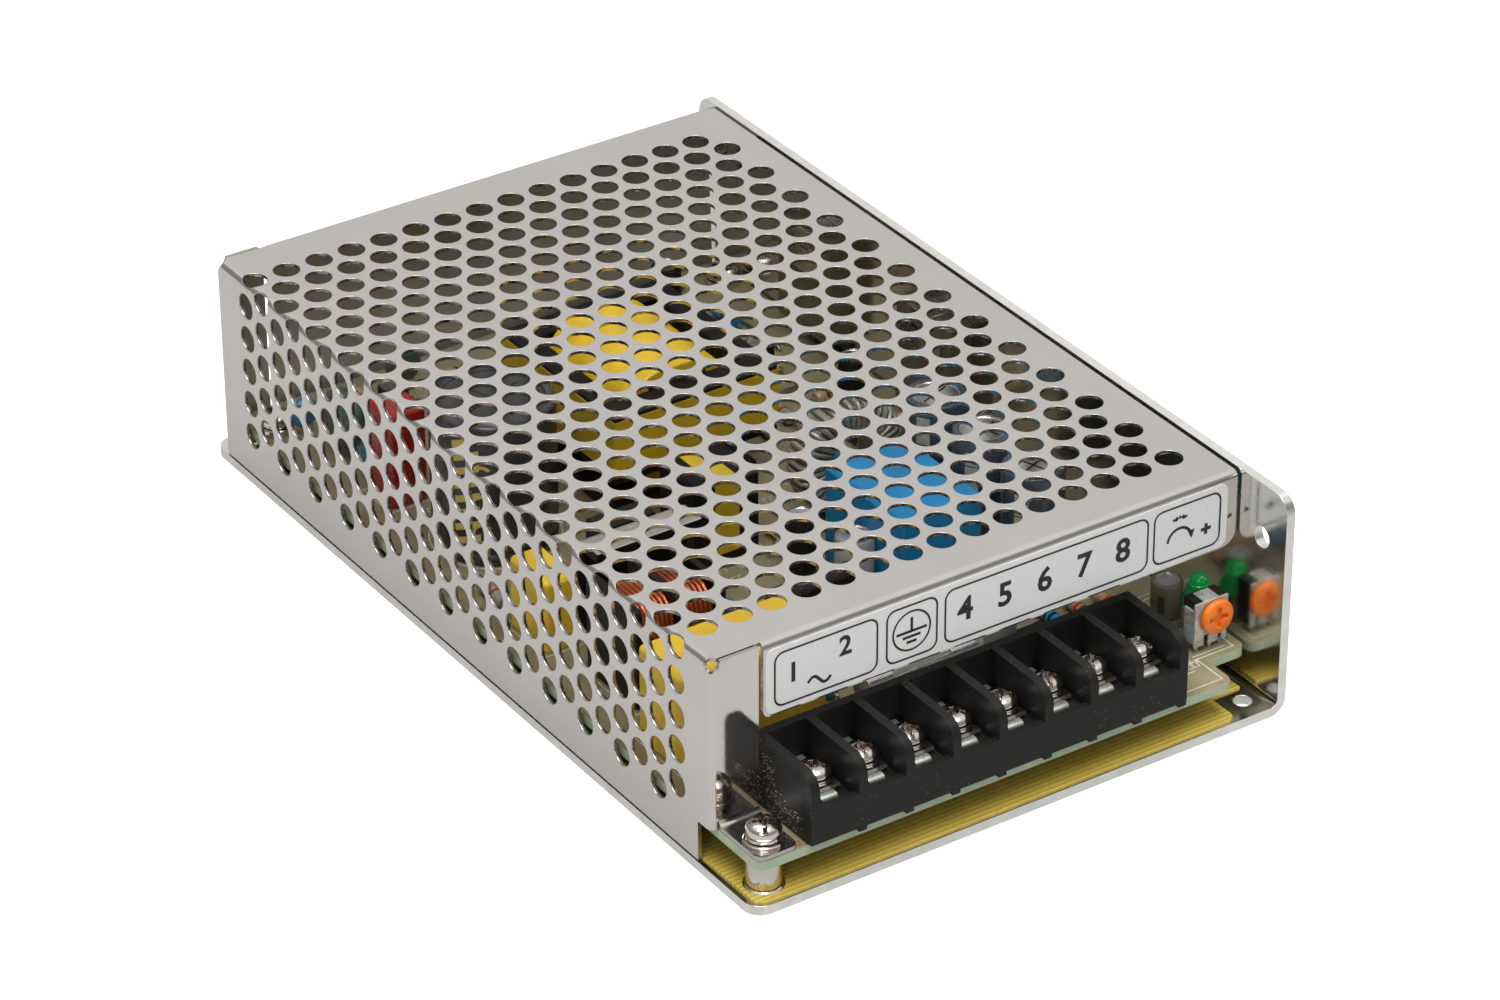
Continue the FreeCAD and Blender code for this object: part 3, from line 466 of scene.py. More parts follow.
def finish_piece(name, bm, materials, slot, replaces=(), body=BODY, bevel=0.0, segments=2,
                 sharp=35.0, weighted=False):
    """Turn a bmesh into a named piece with its finishes and body; the slot argument is not used."""
    mesh = bpy.data.meshes.new(name)
    bm.to_mesh(mesh)
    bm.free()
    for key in materials:
        mesh.materials.append(finishes[key])
    for face in mesh.polygons:
        face.use_smooth = True
    mesh.set_sharp_from_angle(angle=math.radians(sharp))
    piece = bpy.data.objects.new(name, mesh)
    bpy.context.scene.collection.objects.link(piece)
    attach(piece, body)
    if bevel:
        edge = piece.modifiers.new("edge", "BEVEL")
        edge.width = bevel
        edge.segments = segments
        edge.limit_method = "ANGLE"
        edge.angle_limit = math.radians(sharp)
        edge.harden_normals = True
        edge.use_clamp_overlap = True
    if weighted:
        even = piece.modifiers.new("even", "WEIGHTED_NORMAL")
        even.keep_sharp = True
        even.weight = 90
    if replaces:
        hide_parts(*replaces)


def slab(bm, low, high, index=0):
    """Block between two corners; returns its faces."""
    low = Vector(low)
    high = Vector(high)
    matrix = Matrix.Translation((low + high) / 2) @ Matrix.Diagonal((*(high - low), 1))
    made = bmesh.ops.create_cube(bm, size=1.0, matrix=matrix)
    faces = {face for vert in made["verts"] for face in vert.link_faces}
    paint(faces, index)
    return faces


def rod(bm, start, end, radius, steps=16, index=0, radius_end=None):
    """Round bar between two points."""
    start = Vector(start)
    end = Vector(end)
    axis = end - start
    turn = axis.to_track_quat("Z", "Y").to_matrix().to_4x4()
    made = bmesh.ops.create_cone(
        bm, cap_ends=True, segments=steps, radius1=radius,
        radius2=radius if radius_end is None else radius_end, depth=axis.length,
        matrix=Matrix.Translation((start + end) / 2) @ turn,
    )
    paint({face for vert in made["verts"] for face in vert.link_faces}, index)


def lathe(bm, profile, centre, steps=48, index=0, axis="Z"):
    """Spin (radius, height) points round an axis; returns the new points."""
    known = set(bm.faces)
    verts = [bm.verts.new((radius, 0, height)) for radius, height in profile]
    edges = [bm.edges.new(pair) for pair in zip(verts[:-1], verts[1:])]
    bmesh.ops.spin(
        bm, geom=verts + edges, cent=(0, 0, 0), axis=(0, 0, 1), angle=2 * math.pi,
        steps=steps, use_merge=True,
    )
    faces = [face for face in bm.faces if face not in known]
    points = list({vert for face in faces for vert in face.verts})
    bmesh.ops.remove_doubles(bm, verts=points, dist=1e-7)
    faces = [face for face in bm.faces if face not in known]
    bmesh.ops.recalc_face_normals(bm, faces=faces)
    points = list({vert for face in faces for vert in face.verts})
    turn = Matrix.Identity(4)
    if axis != "Z":
        turn = Matrix.Rotation(math.radians(90), 4, "Y" if axis == "X" else "X")
    bmesh.ops.transform(bm, matrix=Matrix.Translation(centre) @ turn, verts=points)
    paint(faces, index)
    return points


def copied_node(name):
    """A CAD node's mesh, merged and with its flat faces joined."""
    bm = bmesh.new()
    bm.from_mesh(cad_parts[name].data)
    bmesh.ops.remove_doubles(bm, verts=bm.verts, dist=1e-6)
    bmesh.ops.dissolve_limit(
        bm, angle_limit=math.radians(1.0), verts=bm.verts, edges=bm.edges
    )
    return bm


def dress(node, piece, materials, slot, second=None, **style):
    """Copy a CAD node as a piece; faces that second picks get the second finish."""
    bm = copied_node(node)
    if second:
        for face in bm.faces:
            face.material_index = int(second(face.normal, face.calc_center_median()))
    finish_piece(piece, bm, materials, slot, replaces=[node], **style)


def middle(name):
    """Centre of a CAD node's box and the box itself."""
    low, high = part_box(name)
    return (low + high) / 2, low, high


# Punched cover

def bend(s, radius, depth):
    """Across a fold: distance along the first sheet and level, for flat place s."""
    if s >= radius:
        return s, -depth
    if s <= -radius:
        return depth, s
    turn = (radius - s) / (2 * radius) * math.pi / 2
    arm = radius - depth
    return radius - arm * math.sin(turn), -radius + arm * math.cos(turn)


def hole_places():
    """Flat places of the punched holes: distance right of the left fold, and y."""
    sizes = sheet()
    first_x = cover_high.x - sizes.right_margin
    first_y = lip_front + sizes.front_margin
    last_y = cover_high.y - sizes.rear_margin
    deepest = cover_low.x - (cover_high.z - sizes.lowest)
    rows = int((last_y - first_y) / sizes.row + 0.5)
    columns = int((first_x - deepest) / sizes.column)
    return [
        (first_x - column * sizes.column - cover_low.x, first_y + row * sizes.row)
        for row in range(rows + 1)
        for column in range(row % 2, columns + 1, 2)
    ]


def rounded(points, steps=5):
    """Replace each corner that has a radius by an arc."""
    outline = []
    count = len(points)
    for i, (x, y, radius) in enumerate(points):
        here = Vector((x, y))
        if not radius:
            outline.append(here)
            continue
        into = (Vector(points[i - 1][:2]) - here).normalized()
        out = (Vector(points[(i + 1) % count][:2]) - here).normalized()
        half = into.angle(out) / 2
        centre = here + (into + out).normalized() * (radius / math.sin(half))
        first = here + into * (radius / math.tan(half)) - centre
        last = here + out * (radius / math.tan(half)) - centre
        swing = first.angle_signed(last)
        for k in range(steps + 1):
            angle = -swing * k / steps
            turned = Matrix.Rotation(angle, 2) @ first
            outline.append(centre + turned)
    return outline


def relief_arc(y, side):
    """Arc of the corner relief, from the top's free edge round to the strip."""
    sizes = sheet()
    steps = 20
    start = math.asin((sizes.sheet + sizes.seam) / sizes.relief)
    sweep = 1.5 * math.pi - math.asin(sizes.drop / sizes.relief) - start
    angles = [start + sweep * k / steps for k in range(steps + 1)]
    return [
        Vector((sizes.relief * math.cos(a), y + side * sizes.relief * math.sin(a)))
        for a in angles
    ]


def cover_outline():
    """Outline of the flat blank as (across, along) points."""
    sizes = sheet()
    wide = cover_high.x - cover_low.x
    front = lip_front
    rear = cover_high.y
    tall = cover_high.z - PLATE_TOP - 0.3 * MM
    strip = sizes.strip
    lip_left = strip + sizes.slit
    tab_drop = cover_high.z - tab_top
    tab_reach = front - board_low.y
    tab_side = board_low.x - cover_low.x
    foot = tab_drop + sizes.sheet
    ear_top = 1.4 * MM
    ear_long = 9.2 * MM
    flush = 0.3 * MM
    notch = 3.4 * MM
    lip_round = 2.5 * MM
    small = 1.2 * MM
    edge = sizes.sheet + sizes.seam
    drop = sizes.drop
    outline = rounded([
        (lip_left, front - sizes.lip, small),
        (wide, front - sizes.lip, lip_round),
        (wide, rear - 14.5 * MM, 0),
        (wide + flush, rear - 13.5 * MM, 0),
        (wide + flush, rear - sizes.fold, 0.3 * MM),
        (wide, rear, 0),
        (wide, rear + ear_top, 0),
        (wide + ear_long, rear + ear_top, small),
        (wide + ear_long, rear + EAR_LOW, small),
        (wide, rear + EAR_LOW, 0),
        (wide, rear + tall, small),
        (lip_left, rear + tall, small),
        (lip_left, rear - edge, 0),
    ])
    outline += relief_arc(rear, -1)
    outline += rounded([
        (-drop, rear + strip, small),
        (-tall, rear + strip, small),
        (-tall, front + notch, 0),
        (-foot, front + notch, 0),
        (-foot, front - sizes.fold, 0),
        (-tab_drop + TAB_BEND, front - sizes.fold, 0),
        (-tab_drop + TAB_BEND, front - tab_side, 0),
        (-tab_drop - tab_reach, front - tab_side, small),
        (-tab_drop - tab_reach, front - strip, small),
        (-drop, front - strip, 0),
    ])
    outline += reversed(relief_arc(front, 1))
    outline.append(Vector((lip_left, front + edge)))
    return outline


def fold_cover(point):
    """Place in space of one point of the flat blank; its z is minus the depth."""
    sizes = sheet()
    across, along, depth = point.x, point.y, -point.z
    left = cover_low.x
    right = cover_high.x
    top = cover_high.z
    front = lip_front
    rear = cover_high.y
    radius = sizes.fold
    from_front = along - front
    from_rear = rear - along
    if across > 0:
        lipped = across > sizes.strip + sizes.slit - EPSILON
        past_edge = right - left - across
        if lipped and from_front < radius:
            reach, level = bend(from_front, radius, depth)
            return Vector((left + across, front + reach, top + level))
        if -EAR_LOW - EPSILON < from_rear < -radius and past_edge < radius:
            reach, level = bend(past_edge, radius, depth)
            return Vector((right - reach, rear + level, top + from_rear))
        if lipped and from_rear < radius:
            reach, level = bend(from_rear, radius, depth)
            return Vector((left + across, rear - reach, top + level))
        reach, level = bend(across, radius, depth)
        return Vector((left + reach, along, top + level))
    in_front = from_front < from_rear
    gap = from_front if in_front else from_rear
    reach, level = bend(gap, radius, depth)
    inset, drop = (depth, across) if gap < 0 else bend(across, radius, depth)
    x = left + inset - depth - level
    tab = across + top - tab_top
    if in_front and gap < -radius and tab < TAB_BEND:
        if tab < -TAB_BEND:
            return Vector((x, front + tab, tab_top - depth))
        turn = (TAB_BEND - tab) / (2 * TAB_BEND) * math.pi / 2
        arm = TAB_BEND + depth
        return Vector((
            x,
            front - TAB_BEND + arm * math.cos(turn),
            tab_top + TAB_BEND - arm * math.sin(turn),
        ))
    y = front + reach if in_front else rear - reach
    return Vector((x, y, top + drop))


def hole_ring(bm, edges, layer, top, side):
    """Extrude hole rims to a new radius and depth, given apart for the top and the side."""
    made = bmesh.ops.extrude_edge_only(bm, edges=edges)["geom"]
    for vert in [item for item in made if isinstance(item, bmesh.types.BMVert)]:
        centre = vert[layer]
        out = Vector((vert.co.x - centre.x, vert.co.y - centre.y)).normalized()
        grow, depth = side if centre.x < 0 else top
        radius = centre.z + grow
        vert.co = (centre.x + out.x * radius, centre.y + out.y * radius, -depth)
    return [item for item in made if isinstance(item, bmesh.types.BMEdge)]


def punched_blank():
    """Flat blank with its outline, punched holes and thickness."""
    sizes = sheet()
    bm = bmesh.new()
    layer = bm.verts.layers.float_vector.new("hole")
    rim = sizes.rim
    thick = sizes.sheet
    front = lip_front
    outline = [bm.verts.new((p.x, p.y, 0)) for p in cover_outline()]
    border = [
        bm.edges.new((outline[i - 1], outline[i])) for i in range(len(outline))
    ]
    tab = middle("tab_screw")[0]
    side = middle("cover_side_screw")[0]
    holes = [(across, along, sizes.hole / 2) for across, along in hole_places()]
    holes.append((tab_top - cover_high.z - (front - tab.y), front - (tab.x - cover_low.x),
                  BORE))
    holes.append((cover_high.x - cover_low.x + cover_high.y - side.y,
                  cover_high.y + cover_high.z - side.z, BORE))
    holes.append((label_high.x + 0.6 * MM - cover_low.x,
                  front - (cover_high.z - label_low.z) + 4.9 * MM, 0.4 * MM))
    rims = []
    for across, along, radius in holes:
        made = bmesh.ops.create_circle(
            bm, cap_ends=False, segments=sizes.sides, radius=radius + rim,
            matrix=Matrix.Translation((across, along, 0)),
        )
        for vert in made["verts"]:
            vert[layer] = (across, along, radius)
            rims += vert.link_edges
    rims = list(dict.fromkeys(rims))
    bmesh.ops.triangle_fill(
        bm, use_beauty=True, use_dissolve=False, edges=border + rims, normal=(0, 0, 1)
    )
    half = rim * (1 - math.sqrt(0.5))
    ring = hole_ring(bm, rims, layer, (half, half), (half, half))
    ring = hole_ring(bm, ring, layer, (0.0, rim), (-0.06 * MM, 0.20 * MM))
    ring = hole_ring(bm, ring, layer, (0.14 * MM, thick), (0.10 * MM, thick))
    made = bmesh.ops.extrude_edge_only(bm, edges=border)["geom"]
    under = [item for item in made if isinstance(item, bmesh.types.BMEdge)]
    for vert in {vert for edge in under for vert in edge.verts}:
        vert.co.z = -thick
    bmesh.ops.triangle_fill(
        bm, use_beauty=True, use_dissolve=False, edges=under + ring, normal=(0, 0, -1)
    )
    bmesh.ops.recalc_face_normals(bm, faces=bm.faces)
    for face in bm.faces:
        outer = face.normal.z > FLAT
        inner = face.normal.z < -FLAT
        face.material_index = 0 if outer else 2 if inner else 1
    return bm


def cut_at(bm, point, normal):
    bmesh.ops.bisect_plane(
        bm, geom=bm.verts[:] + bm.edges[:] + bm.faces[:], dist=1e-7,
        plane_co=point, plane_no=normal,
    )


def make_cover():
    """Folded and punched cover."""
    fold = sheet().fold
    bm = punched_blank()
    for k in range(FOLD_STEPS + 1):
        share = 2 * k / FOLD_STEPS - 1
        cut_at(bm, (fold * share, 0, 0), (1, 0, 0))
        cut_at(bm, (0, lip_front + fold * share, 0), (0, 1, 0))
        cut_at(bm, (0, cover_high.y + fold * share, 0), (0, 1, 0))
        cut_at(bm, (cover_high.x - cover_low.x + fold * share, 0, 0), (1, 0, 0))
    for k in range(FOLD_STEPS + 1):
        share = 2 * k / FOLD_STEPS - 1
        cut_at(bm, (tab_top - cover_high.z + TAB_BEND * share, 0, 0), (1, 0, 0))
    for vert in bm.verts:
        vert.co = fold_cover(vert.co)
    bmesh.ops.recalc_face_normals(bm, faces=bm.faces)
    finish_piece("cover_sheet", bm, ["steel", "steel_cut", "steel_inner"], "plated_steel",
                 replaces=["cover"], sharp=50, weighted=True)


def carve(bm, cutter):
    """Take one closed mesh away from another and hand back the rest."""
    holders = []
    for part in (bm, cutter):
        mesh = bpy.data.meshes.new("carve")
        part.to_mesh(mesh)
        part.free()
        holder = bpy.data.objects.new("carve", mesh)
        bpy.context.scene.collection.objects.link(holder)
        holders.append(holder)
    cut = holders[0].modifiers.new("cut", "BOOLEAN")
    cut.operation = "DIFFERENCE"
    cut.solver = "EXACT"
    cut.object = holders[1]
    bpy.context.view_layer.update()
    graph = bpy.context.evaluated_depsgraph_get()
    mesh = bpy.data.meshes.new_from_object(holders[0].evaluated_get(graph))
    result = bmesh.new()
    result.from_mesh(mesh)
    bpy.data.meshes.remove(mesh)
    for holder in holders:
        old = holder.data
        bpy.data.objects.remove(holder)
        bpy.data.meshes.remove(old)
    if not result.faces:
        raise RuntimeError("nothing is left after a cut")
    return result


def ribbon(bm, points, width, level, index=0, closed=False, face="up"):
    """Flat printed line through 2-D points, lying on a board or on a front."""
    count = len(points)
    pairs = []
    for i in range(count):
        here = Vector(points[i])
        before = Vector(points[i - 1]) if closed or i else None
        after = Vector(points[(i + 1) % count]) if closed or i < count - 1 else None
        into = (here - before).normalized() if before else None
        out = (after - here).normalized() if after else None
        into = into or out
        out = out or into
        side = Vector((-(into.y + out.y), into.x + out.x)).normalized()
        reach = width / 2 / max(0.4, side.dot(Vector((-out.y, out.x))))
        pair = []
        for sign in (1, -1):
            x, y = here + side * reach * sign
            place = (x, y, level) if face == "up" else (x, level, y)
            pair.append(bm.verts.new(place))
        pairs.append(pair)
    last = count if closed else count - 1
    for i in range(last):
        a, b = pairs[i]
        d, c = pairs[(i + 1) % count]
        made = bm.faces.new((a, b, c, d) if face == "up" else (d, c, b, a))
        made.material_index = index


def arc_points(centre, radius, start=0.0, sweep=360.0, steps=32):
    """Points of an arc, angles in degrees; a full circle leaves its last point out."""
    count = steps if sweep >= 360 else steps + 1
    turns = [math.radians(start + sweep * k / steps) for k in range(count)]
    return [
        (centre[0] + radius * math.cos(t), centre[1] + radius * math.sin(t)) for t in turns
    ]


def tubes(bm, paths, radius, cyclic=False, detail=1):
    """Round wires along several straight-sided paths."""
    curve = bpy.data.curves.new("wires", "CURVE")
    curve.dimensions = "3D"
    curve.bevel_depth = radius
    curve.bevel_resolution = detail
    curve.use_fill_caps = not cyclic
    for path in paths:
        line = curve.splines.new("POLY")
        line.points.add(len(path) - 1)
        for knot, point in zip(line.points, path):
            knot.co = (*point, 1.0)
        line.use_cyclic_u = cyclic
    holder = bpy.data.objects.new("wires", curve)
    absorb(bm, bpy.data.meshes.new_from_object(holder))
    bpy.data.objects.remove(holder)
    bpy.data.curves.remove(curve)


def lettering(bm, words, place, size):
    """Plain figures on the front label, made a mesh before they are placed."""
    text = bpy.data.curves.new("figures", "FONT")
    text.body = words
    text.size = size
    text.align_x = "CENTER"
    text.align_y = "CENTER"
    text.resolution_u = 3
    text.offset = 0.025 * size
    holder = bpy.data.objects.new("figures", text)
    bpy.context.scene.collection.objects.link(holder)
    graph = bpy.context.evaluated_depsgraph_get()
    mesh = bpy.data.meshes.new_from_object(holder.evaluated_get(graph))
    mesh.transform(Matrix.Translation(place) @ Matrix.Rotation(math.radians(90), 4, "X"))
    absorb(bm, mesh)
    bpy.data.objects.remove(holder)
    bpy.data.curves.remove(text)


# Case and board

def make_chassis():
    """Aluminium plate and wall with bright cut edges."""
    def is_cut(normal, centre):
        end = abs(normal.y) > 0.9
        rim = normal.z > 0.9 and centre.z > case_low.z + 3 * MM
        left = normal.x < -0.9 and centre.x < case_low.x + 1 * MM
        return end or rim or left

    dress("chassis", "chassis_sheet", ["aluminium", "aluminium_cut"], "aluminium_sheet",
          is_cut, bevel=0.25 * MM, segments=3, sharp=30)


def make_film():
    """Amber film between the plate and the board."""
    dress("insulating_sheet", "insulating_film", ["film"], "insulating_film",
          bevel=0.05 * MM, segments=1)


def make_board():
    """Circuit board with its pale sawn edges."""
    dress("circuit_board", "board", ["board", "board_edge"], "board_laminate",
          lambda normal, centre: abs(normal.z) <= 0.7, bevel=0.18 * MM)


def make_board_print():
    """Pale part outlines and pads printed on the board."""
    bm = bmesh.new()
    level = board_high.z + 0.02 * MM
    block = block_high.x
    right = board_high.x
    front = board_low.y

    def line(points, weight=1.0, closed=False):
        ribbon(bm, points, weight * 0.22 * MM, level, closed=closed)

    for points in (
        ((block, 0.6, 1.3), (right, -8.6, 1.3), (right, -8.6, 7.4), (block, 3.4, 7.4)),
        ((block, 0.7, 5.2), (right, -10.6, 5.2)),
        ((right, -9.8, 7.6), (right, -1.6, 7.6), (right, -1.6, 12.0)),
        ((right, -8.8, 8.4), (right, -2.6, 8.4)),
        ((right, -8.8, 6.9), (right, -10.6, 8.8)),
    ):
        line([(edge + x * MM, front + y * MM) for edge, x, y in points])
    for k in range(3):
        x = right - (10.0 + 1.1 * k) * MM
        line([(x + a * MM, front + (6.0 + b) * MM)
              for a, b in ((0, 0), (0.8, 0), (0.8, 1.2), (0, 1.2))], 0.8, closed=k != 1)
    lamp = middle("indicator_lamp")[0]
    ring = (lamp.x - 1.0 * MM, lamp.y + 7.9 * MM)
    line(arc_points(ring, 3.1 * MM), closed=True)
    line(arc_points(ring, 4.2 * MM, start=60, sweep=250))
    line(arc_points(lamp, 2.6 * MM), closed=True)
    for name in ("main_capacitor", "output_capacitor_1", "output_capacitor_2",
                 "output_capacitor_3", "supply_capacitor", "lamp_capacitor"):
        centre, low, high = middle(name)
        line(arc_points(centre, (high.x - low.x) / 2 + 0.5 * MM), closed=True)
    out = Vector((0.6 * MM, 0.6 * MM, 0))
    for name in ("line_capacitor", "blue_capacitor", "film_capacitor", "yellow_capacitor",
                 "drive_transformer", "bridge_rectifier", "control_chip", "choke_former"):
        low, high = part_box(name)
        low = low - out
        high = high + out
        line([(low.x, low.y), (high.x, low.y), (high.x, high.y), (low.x, high.y)], closed=True)
    picker = random.Random(7)
    for _ in range(46):
        x = picker.uniform(board_low.x + 6 * MM, board_high.x - 8 * MM)
        y = picker.uniform(block_high.y + 2 * MM, board_high.y - 4 * MM)
        size = picker.uniform(0.7, 1.1) * MM
        for k in range(picker.randint(2, 3)):
            left = x + k * size * 1.3
            line([(left, y), (left, y + size * 1.5), (left + size * 0.8, y + size * 1.5)], 0.8)
    finish_piece("board_print", bm, ["silk"], "board_laminate")


def make_label():
    """Pale label with four rounded frames, plain figures and signs."""
    dress("front_label", "label_sheet", ["label"], "label_film", bevel=0.04 * MM, segments=1)
    bm = bmesh.new()
    level = label_low.y - 0.015 * MM
    bottom = label_low.z + 1.0 * MM
    top = label_high.z - 1.1 * MM
    middle_z = (bottom + top) / 2

    def stroke(points, weight=1.4, ahead=0.0, closed=False):
        ribbon(bm, points, weight * PRINT_LINE, level - ahead, closed=closed, face="front")

    for start, end in ((1.6, 19.5), (21.2, 30.1), (31.6, 68.6), (69.8, 82.2)):
        x0 = label_low.x + start * MM
        x1 = label_low.x + end * MM
        corners = ((x0, bottom), (x1, bottom), (x1, top), (x0, top))
        stroke(rounded([(x, z, 1.5 * MM) for x, z in corners]), 1.0, closed=True)
    first, second = (middle("terminal_screw_%d" % k)[0].x for k in (1, 2))
    figures = [("1", first - 0.4 * MM, 0.3, 4.6), ("2", second + 0.4 * MM, 1.6, 4.6)]
    figures += [
        (str(k + 1), label_low.x + (35.2 + (k - 3) * 7.2) * MM, 0.2, 5.6)
        for k in range(3, SCREWS)
    ]
    for words, x, up, size in figures:
        lettering(bm, words, (x, level - 0.002 * MM, middle_z + up * MM), size * MM)
    wave_x = (first + second) / 2
    stroke([
        (wave_x + (k / 12 - 1) * 2.0 * MM,
         middle_z - 2.4 * MM + 0.75 * MM * math.sin(k / 12 * math.pi)) for k in range(25)
    ], 1.5)
    x, z = label_low.x + 25.6 * MM, middle_z + 0.1 * MM
    stroke(arc_points((x, z), 3.3 * MM, steps=40), 1.0, closed=True)
    for half, drop in ((2.7, 0.1), (1.6, 1.0), (0.9, 1.9)):
        stroke([(x - half * MM, z - drop * MM), (x + half * MM, z - drop * MM)])
    stroke([(x, z + 2.3 * MM), (x, z - 0.1 * MM)])
    x, z = label_low.x + 74.6 * MM, middle_z - 1.6 * MM
    stroke(arc_points((x, z), 2.2 * MM, start=175, sweep=-150, steps=18))
    for k in range(5):
        angle = math.radians(150 - 30 * k)
        stroke([(x + r * MM * math.cos(angle), z + (3.6 + r * math.sin(angle) * 0.5) * MM)
                for r in (0.6, 1.6)], 1.2)
    bm.faces.new([
        bm.verts.new((x + (2.3 + across) * MM, level, z + (up - 0.4) * MM))
        for across, up in ((-0.75, 1.5), (0.0, 0.0), (0.55, 1.6))
    ])
    x, z = label_low.x + 79.6 * MM, middle_z - 1.2 * MM
    reach = 0.95 * MM
    stroke([(x - reach, z), (x + reach, z)], 1.8)
    stroke([(x, z - reach), (x, z + reach)], 1.8, ahead=0.001 * MM)
    finish_piece("label_print", bm, ["ink"], "label_film")


# Screws and terminals

def screw_head(bm, x, y, seat, angle):
    """Pan head with a crossed recess and one slot that runs right across."""
    radius = HEAD_RADIUS
    height = HEAD_HEIGHT
    head = bmesh.new()
    lathe(head, [
        (0, 0), (radius * 0.93, 0), (radius * 0.99, 0.12 * height),
        (radius, 0.4 * height), (radius * 0.96, 0.6 * height),
        (radius * 0.85, 0.79 * height), (radius * 0.66, 0.91 * height),
        (radius * 0.4, 0.98 * height), (0, height),
    ], (0, 0, 0), steps=36)
    for across, along, floor in (
        (radius * 1.3, 0.36 * MM, 0.62), (0.42 * MM, radius * 0.62, 0.42),
    ):
        cutter = bmesh.new()
        slab(cutter, (-across, -along, height * floor), (across, along, height * 1.6))
        head = carve(head, cutter)
    cutter = bmesh.new()
    rod(cutter, (0, 0, height * 0.3), (0, 0, height * 1.3), 0.5 * MM, steps=12,
        radius_end=1.2 * MM)
    head = carve(head, cutter)
    head.transform(
        Matrix.Translation((x, y, seat)) @ Matrix.Rotation(math.radians(angle), 4, "Z")
    )
    mesh = bpy.data.meshes.new("head")
    head.to_mesh(mesh)
    head.free()
    absorb(bm, mesh)


def screw(bm, x, y, foot, top, angle, steps=24):
    """Pan head screw, by the heights of its foot and of its head's top."""
    screw_head(bm, x, y, top - HEAD_HEIGHT - 0.05 * MM, angle)
    rod(bm, (x, y, foot), (x, y, top - HEAD_HEIGHT), SHAFT, steps=steps)


def washer(bm, x, y, low, high, outer, split=0.0, lift=0.0):
    """Flat or split washer; a split one rises a little along its turn."""
    steps = 36
    known = set(bm.faces)
    edge = min((high - low) * 0.3, 0.15 * MM)
    section = [(BORE, low), (outer - edge, low), (outer, low + edge), (outer, high - edge),
               (outer - edge, high), (BORE, high)]
    rings = []
    for k in range(steps + 1 if split else steps):
        angle = math.radians(split / 2 + (360 - split) * k / steps)
        rings.append([
            bm.verts.new((x + r * math.cos(angle), y + r * math.sin(angle),
                          z + lift * k / steps)) for r, z in section
        ])
    for k in range(steps):
        one = rings[k]
        two = rings[(k + 1) % len(rings)]
        for i in range(len(section)):
            j = (i + 1) % len(section)
            bm.faces.new((one[i], two[i], two[j], one[j]))
    if split:
        bm.faces.new(rings[0])
        bm.faces.new(list(reversed(rings[-1])))
    fresh = [face for face in bm.faces if face not in known]
    bmesh.ops.recalc_face_normals(bm, faces=fresh)


def make_terminal_screws():
    """Eight clamp screws, each with a spring washer and a bent square washer."""
    picker = random.Random(3)
    seat = CONTACT_TOP + 0.03 * MM
    half = 2.75 * MM
    for k in range(1, SCREWS + 1):
        name = "terminal_screw_%d" % k
        centre, low, high = middle(name)
        x = centre.x
        y = high.y - 3.5 * MM
        bm = bmesh.new()
        screw(bm, x, y, low.z, high.z - 0.3 * MM, picker.choice((18, 38, 52, 64, 75, 128)))
        washer(bm, x, y, seat + 0.5 * MM, seat + 0.98 * MM, half, split=9, lift=0.08 * MM)
        plate = slab(bm, (x - half, y - 2.95 * MM, seat), (x + half, high.y, seat + 0.42 * MM))
        for vert in {vert for face in plate for vert in face.verts}:
            if vert.co.y < y and vert.co.z > seat + EPSILON:
                vert.co.y += 0.3 * MM
        finish_piece("clamp_screw_%d" % k, bm, ["nickel"], "plated_screw", replaces=[name],
                     body=name, **FASTENER)


def make_contacts():
    """Plated strips below the screws, with a narrow tongue that turns down in front."""
    low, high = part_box("terminal_contacts")
    top = CONTACT_TOP - 0.1 * MM
    front = low.y + 0.95 * MM
    rear = low.y + 3.2 * MM
    drop = 0.75 * MM
    half = 1.4 * MM
    outline = [(rear, low.z), (front, low.z)]
    for k in range(6):
        turn = math.pi / 2 * k / 5
        outline.append((front + drop * (1 - math.cos(turn)), top - drop * (1 - math.sin(turn))))
    outline.append((rear, top))
    bm = bmesh.new()
    for k in range(1, SCREWS + 1):
        x = middle("terminal_screw_%d" % k)[0].x
        slab(bm, (x - 2.6 * MM, low.y + 2.9 * MM, low.z), (x + 2.6 * MM, high.y, CONTACT_TOP))
        end = bm.faces.new([bm.verts.new((x - half, y, z)) for y, z in outline])
        grown = bmesh.ops.extrude_face_region(bm, geom=[end])["geom"]
        moved = [item for item in grown if isinstance(item, bmesh.types.BMVert)]
        bmesh.ops.translate(bm, vec=(2 * half, 0, 0), verts=moved)
    bmesh.ops.recalc_face_normals(bm, faces=bm.faces)
    finish_piece("contact_strips", bm, ["contact"], "plated_contact",
                 replaces=["terminal_contacts"], bevel=0.06 * MM, sharp=40)


def make_block():
    """Black terminal block with softened edges and a dusty left end."""
    bm = copied_node("terminal_block")
    ledge = board_high.z + 6.0 * MM
    for vert in bm.verts:
        for level, rise in ((ledge, 0.45), (board_high.z, 0.4), (block_low.z, 0.55)):
            if abs(vert.co.z - level) < EPSILON:
                vert.co.z += rise * MM
    for face in bm.faces:
        outer = face.calc_center_median().x < block_low.x + 0.5 * MM
        face.material_index = 1 if face.normal.x < -0.9 and outer else 0
    finish_piece("terminal_housing", bm, ["moulding", "moulding_dusty"], "black_moulding",
                 replaces=["terminal_block"], bevel=0.24 * MM, segments=3, sharp=28)


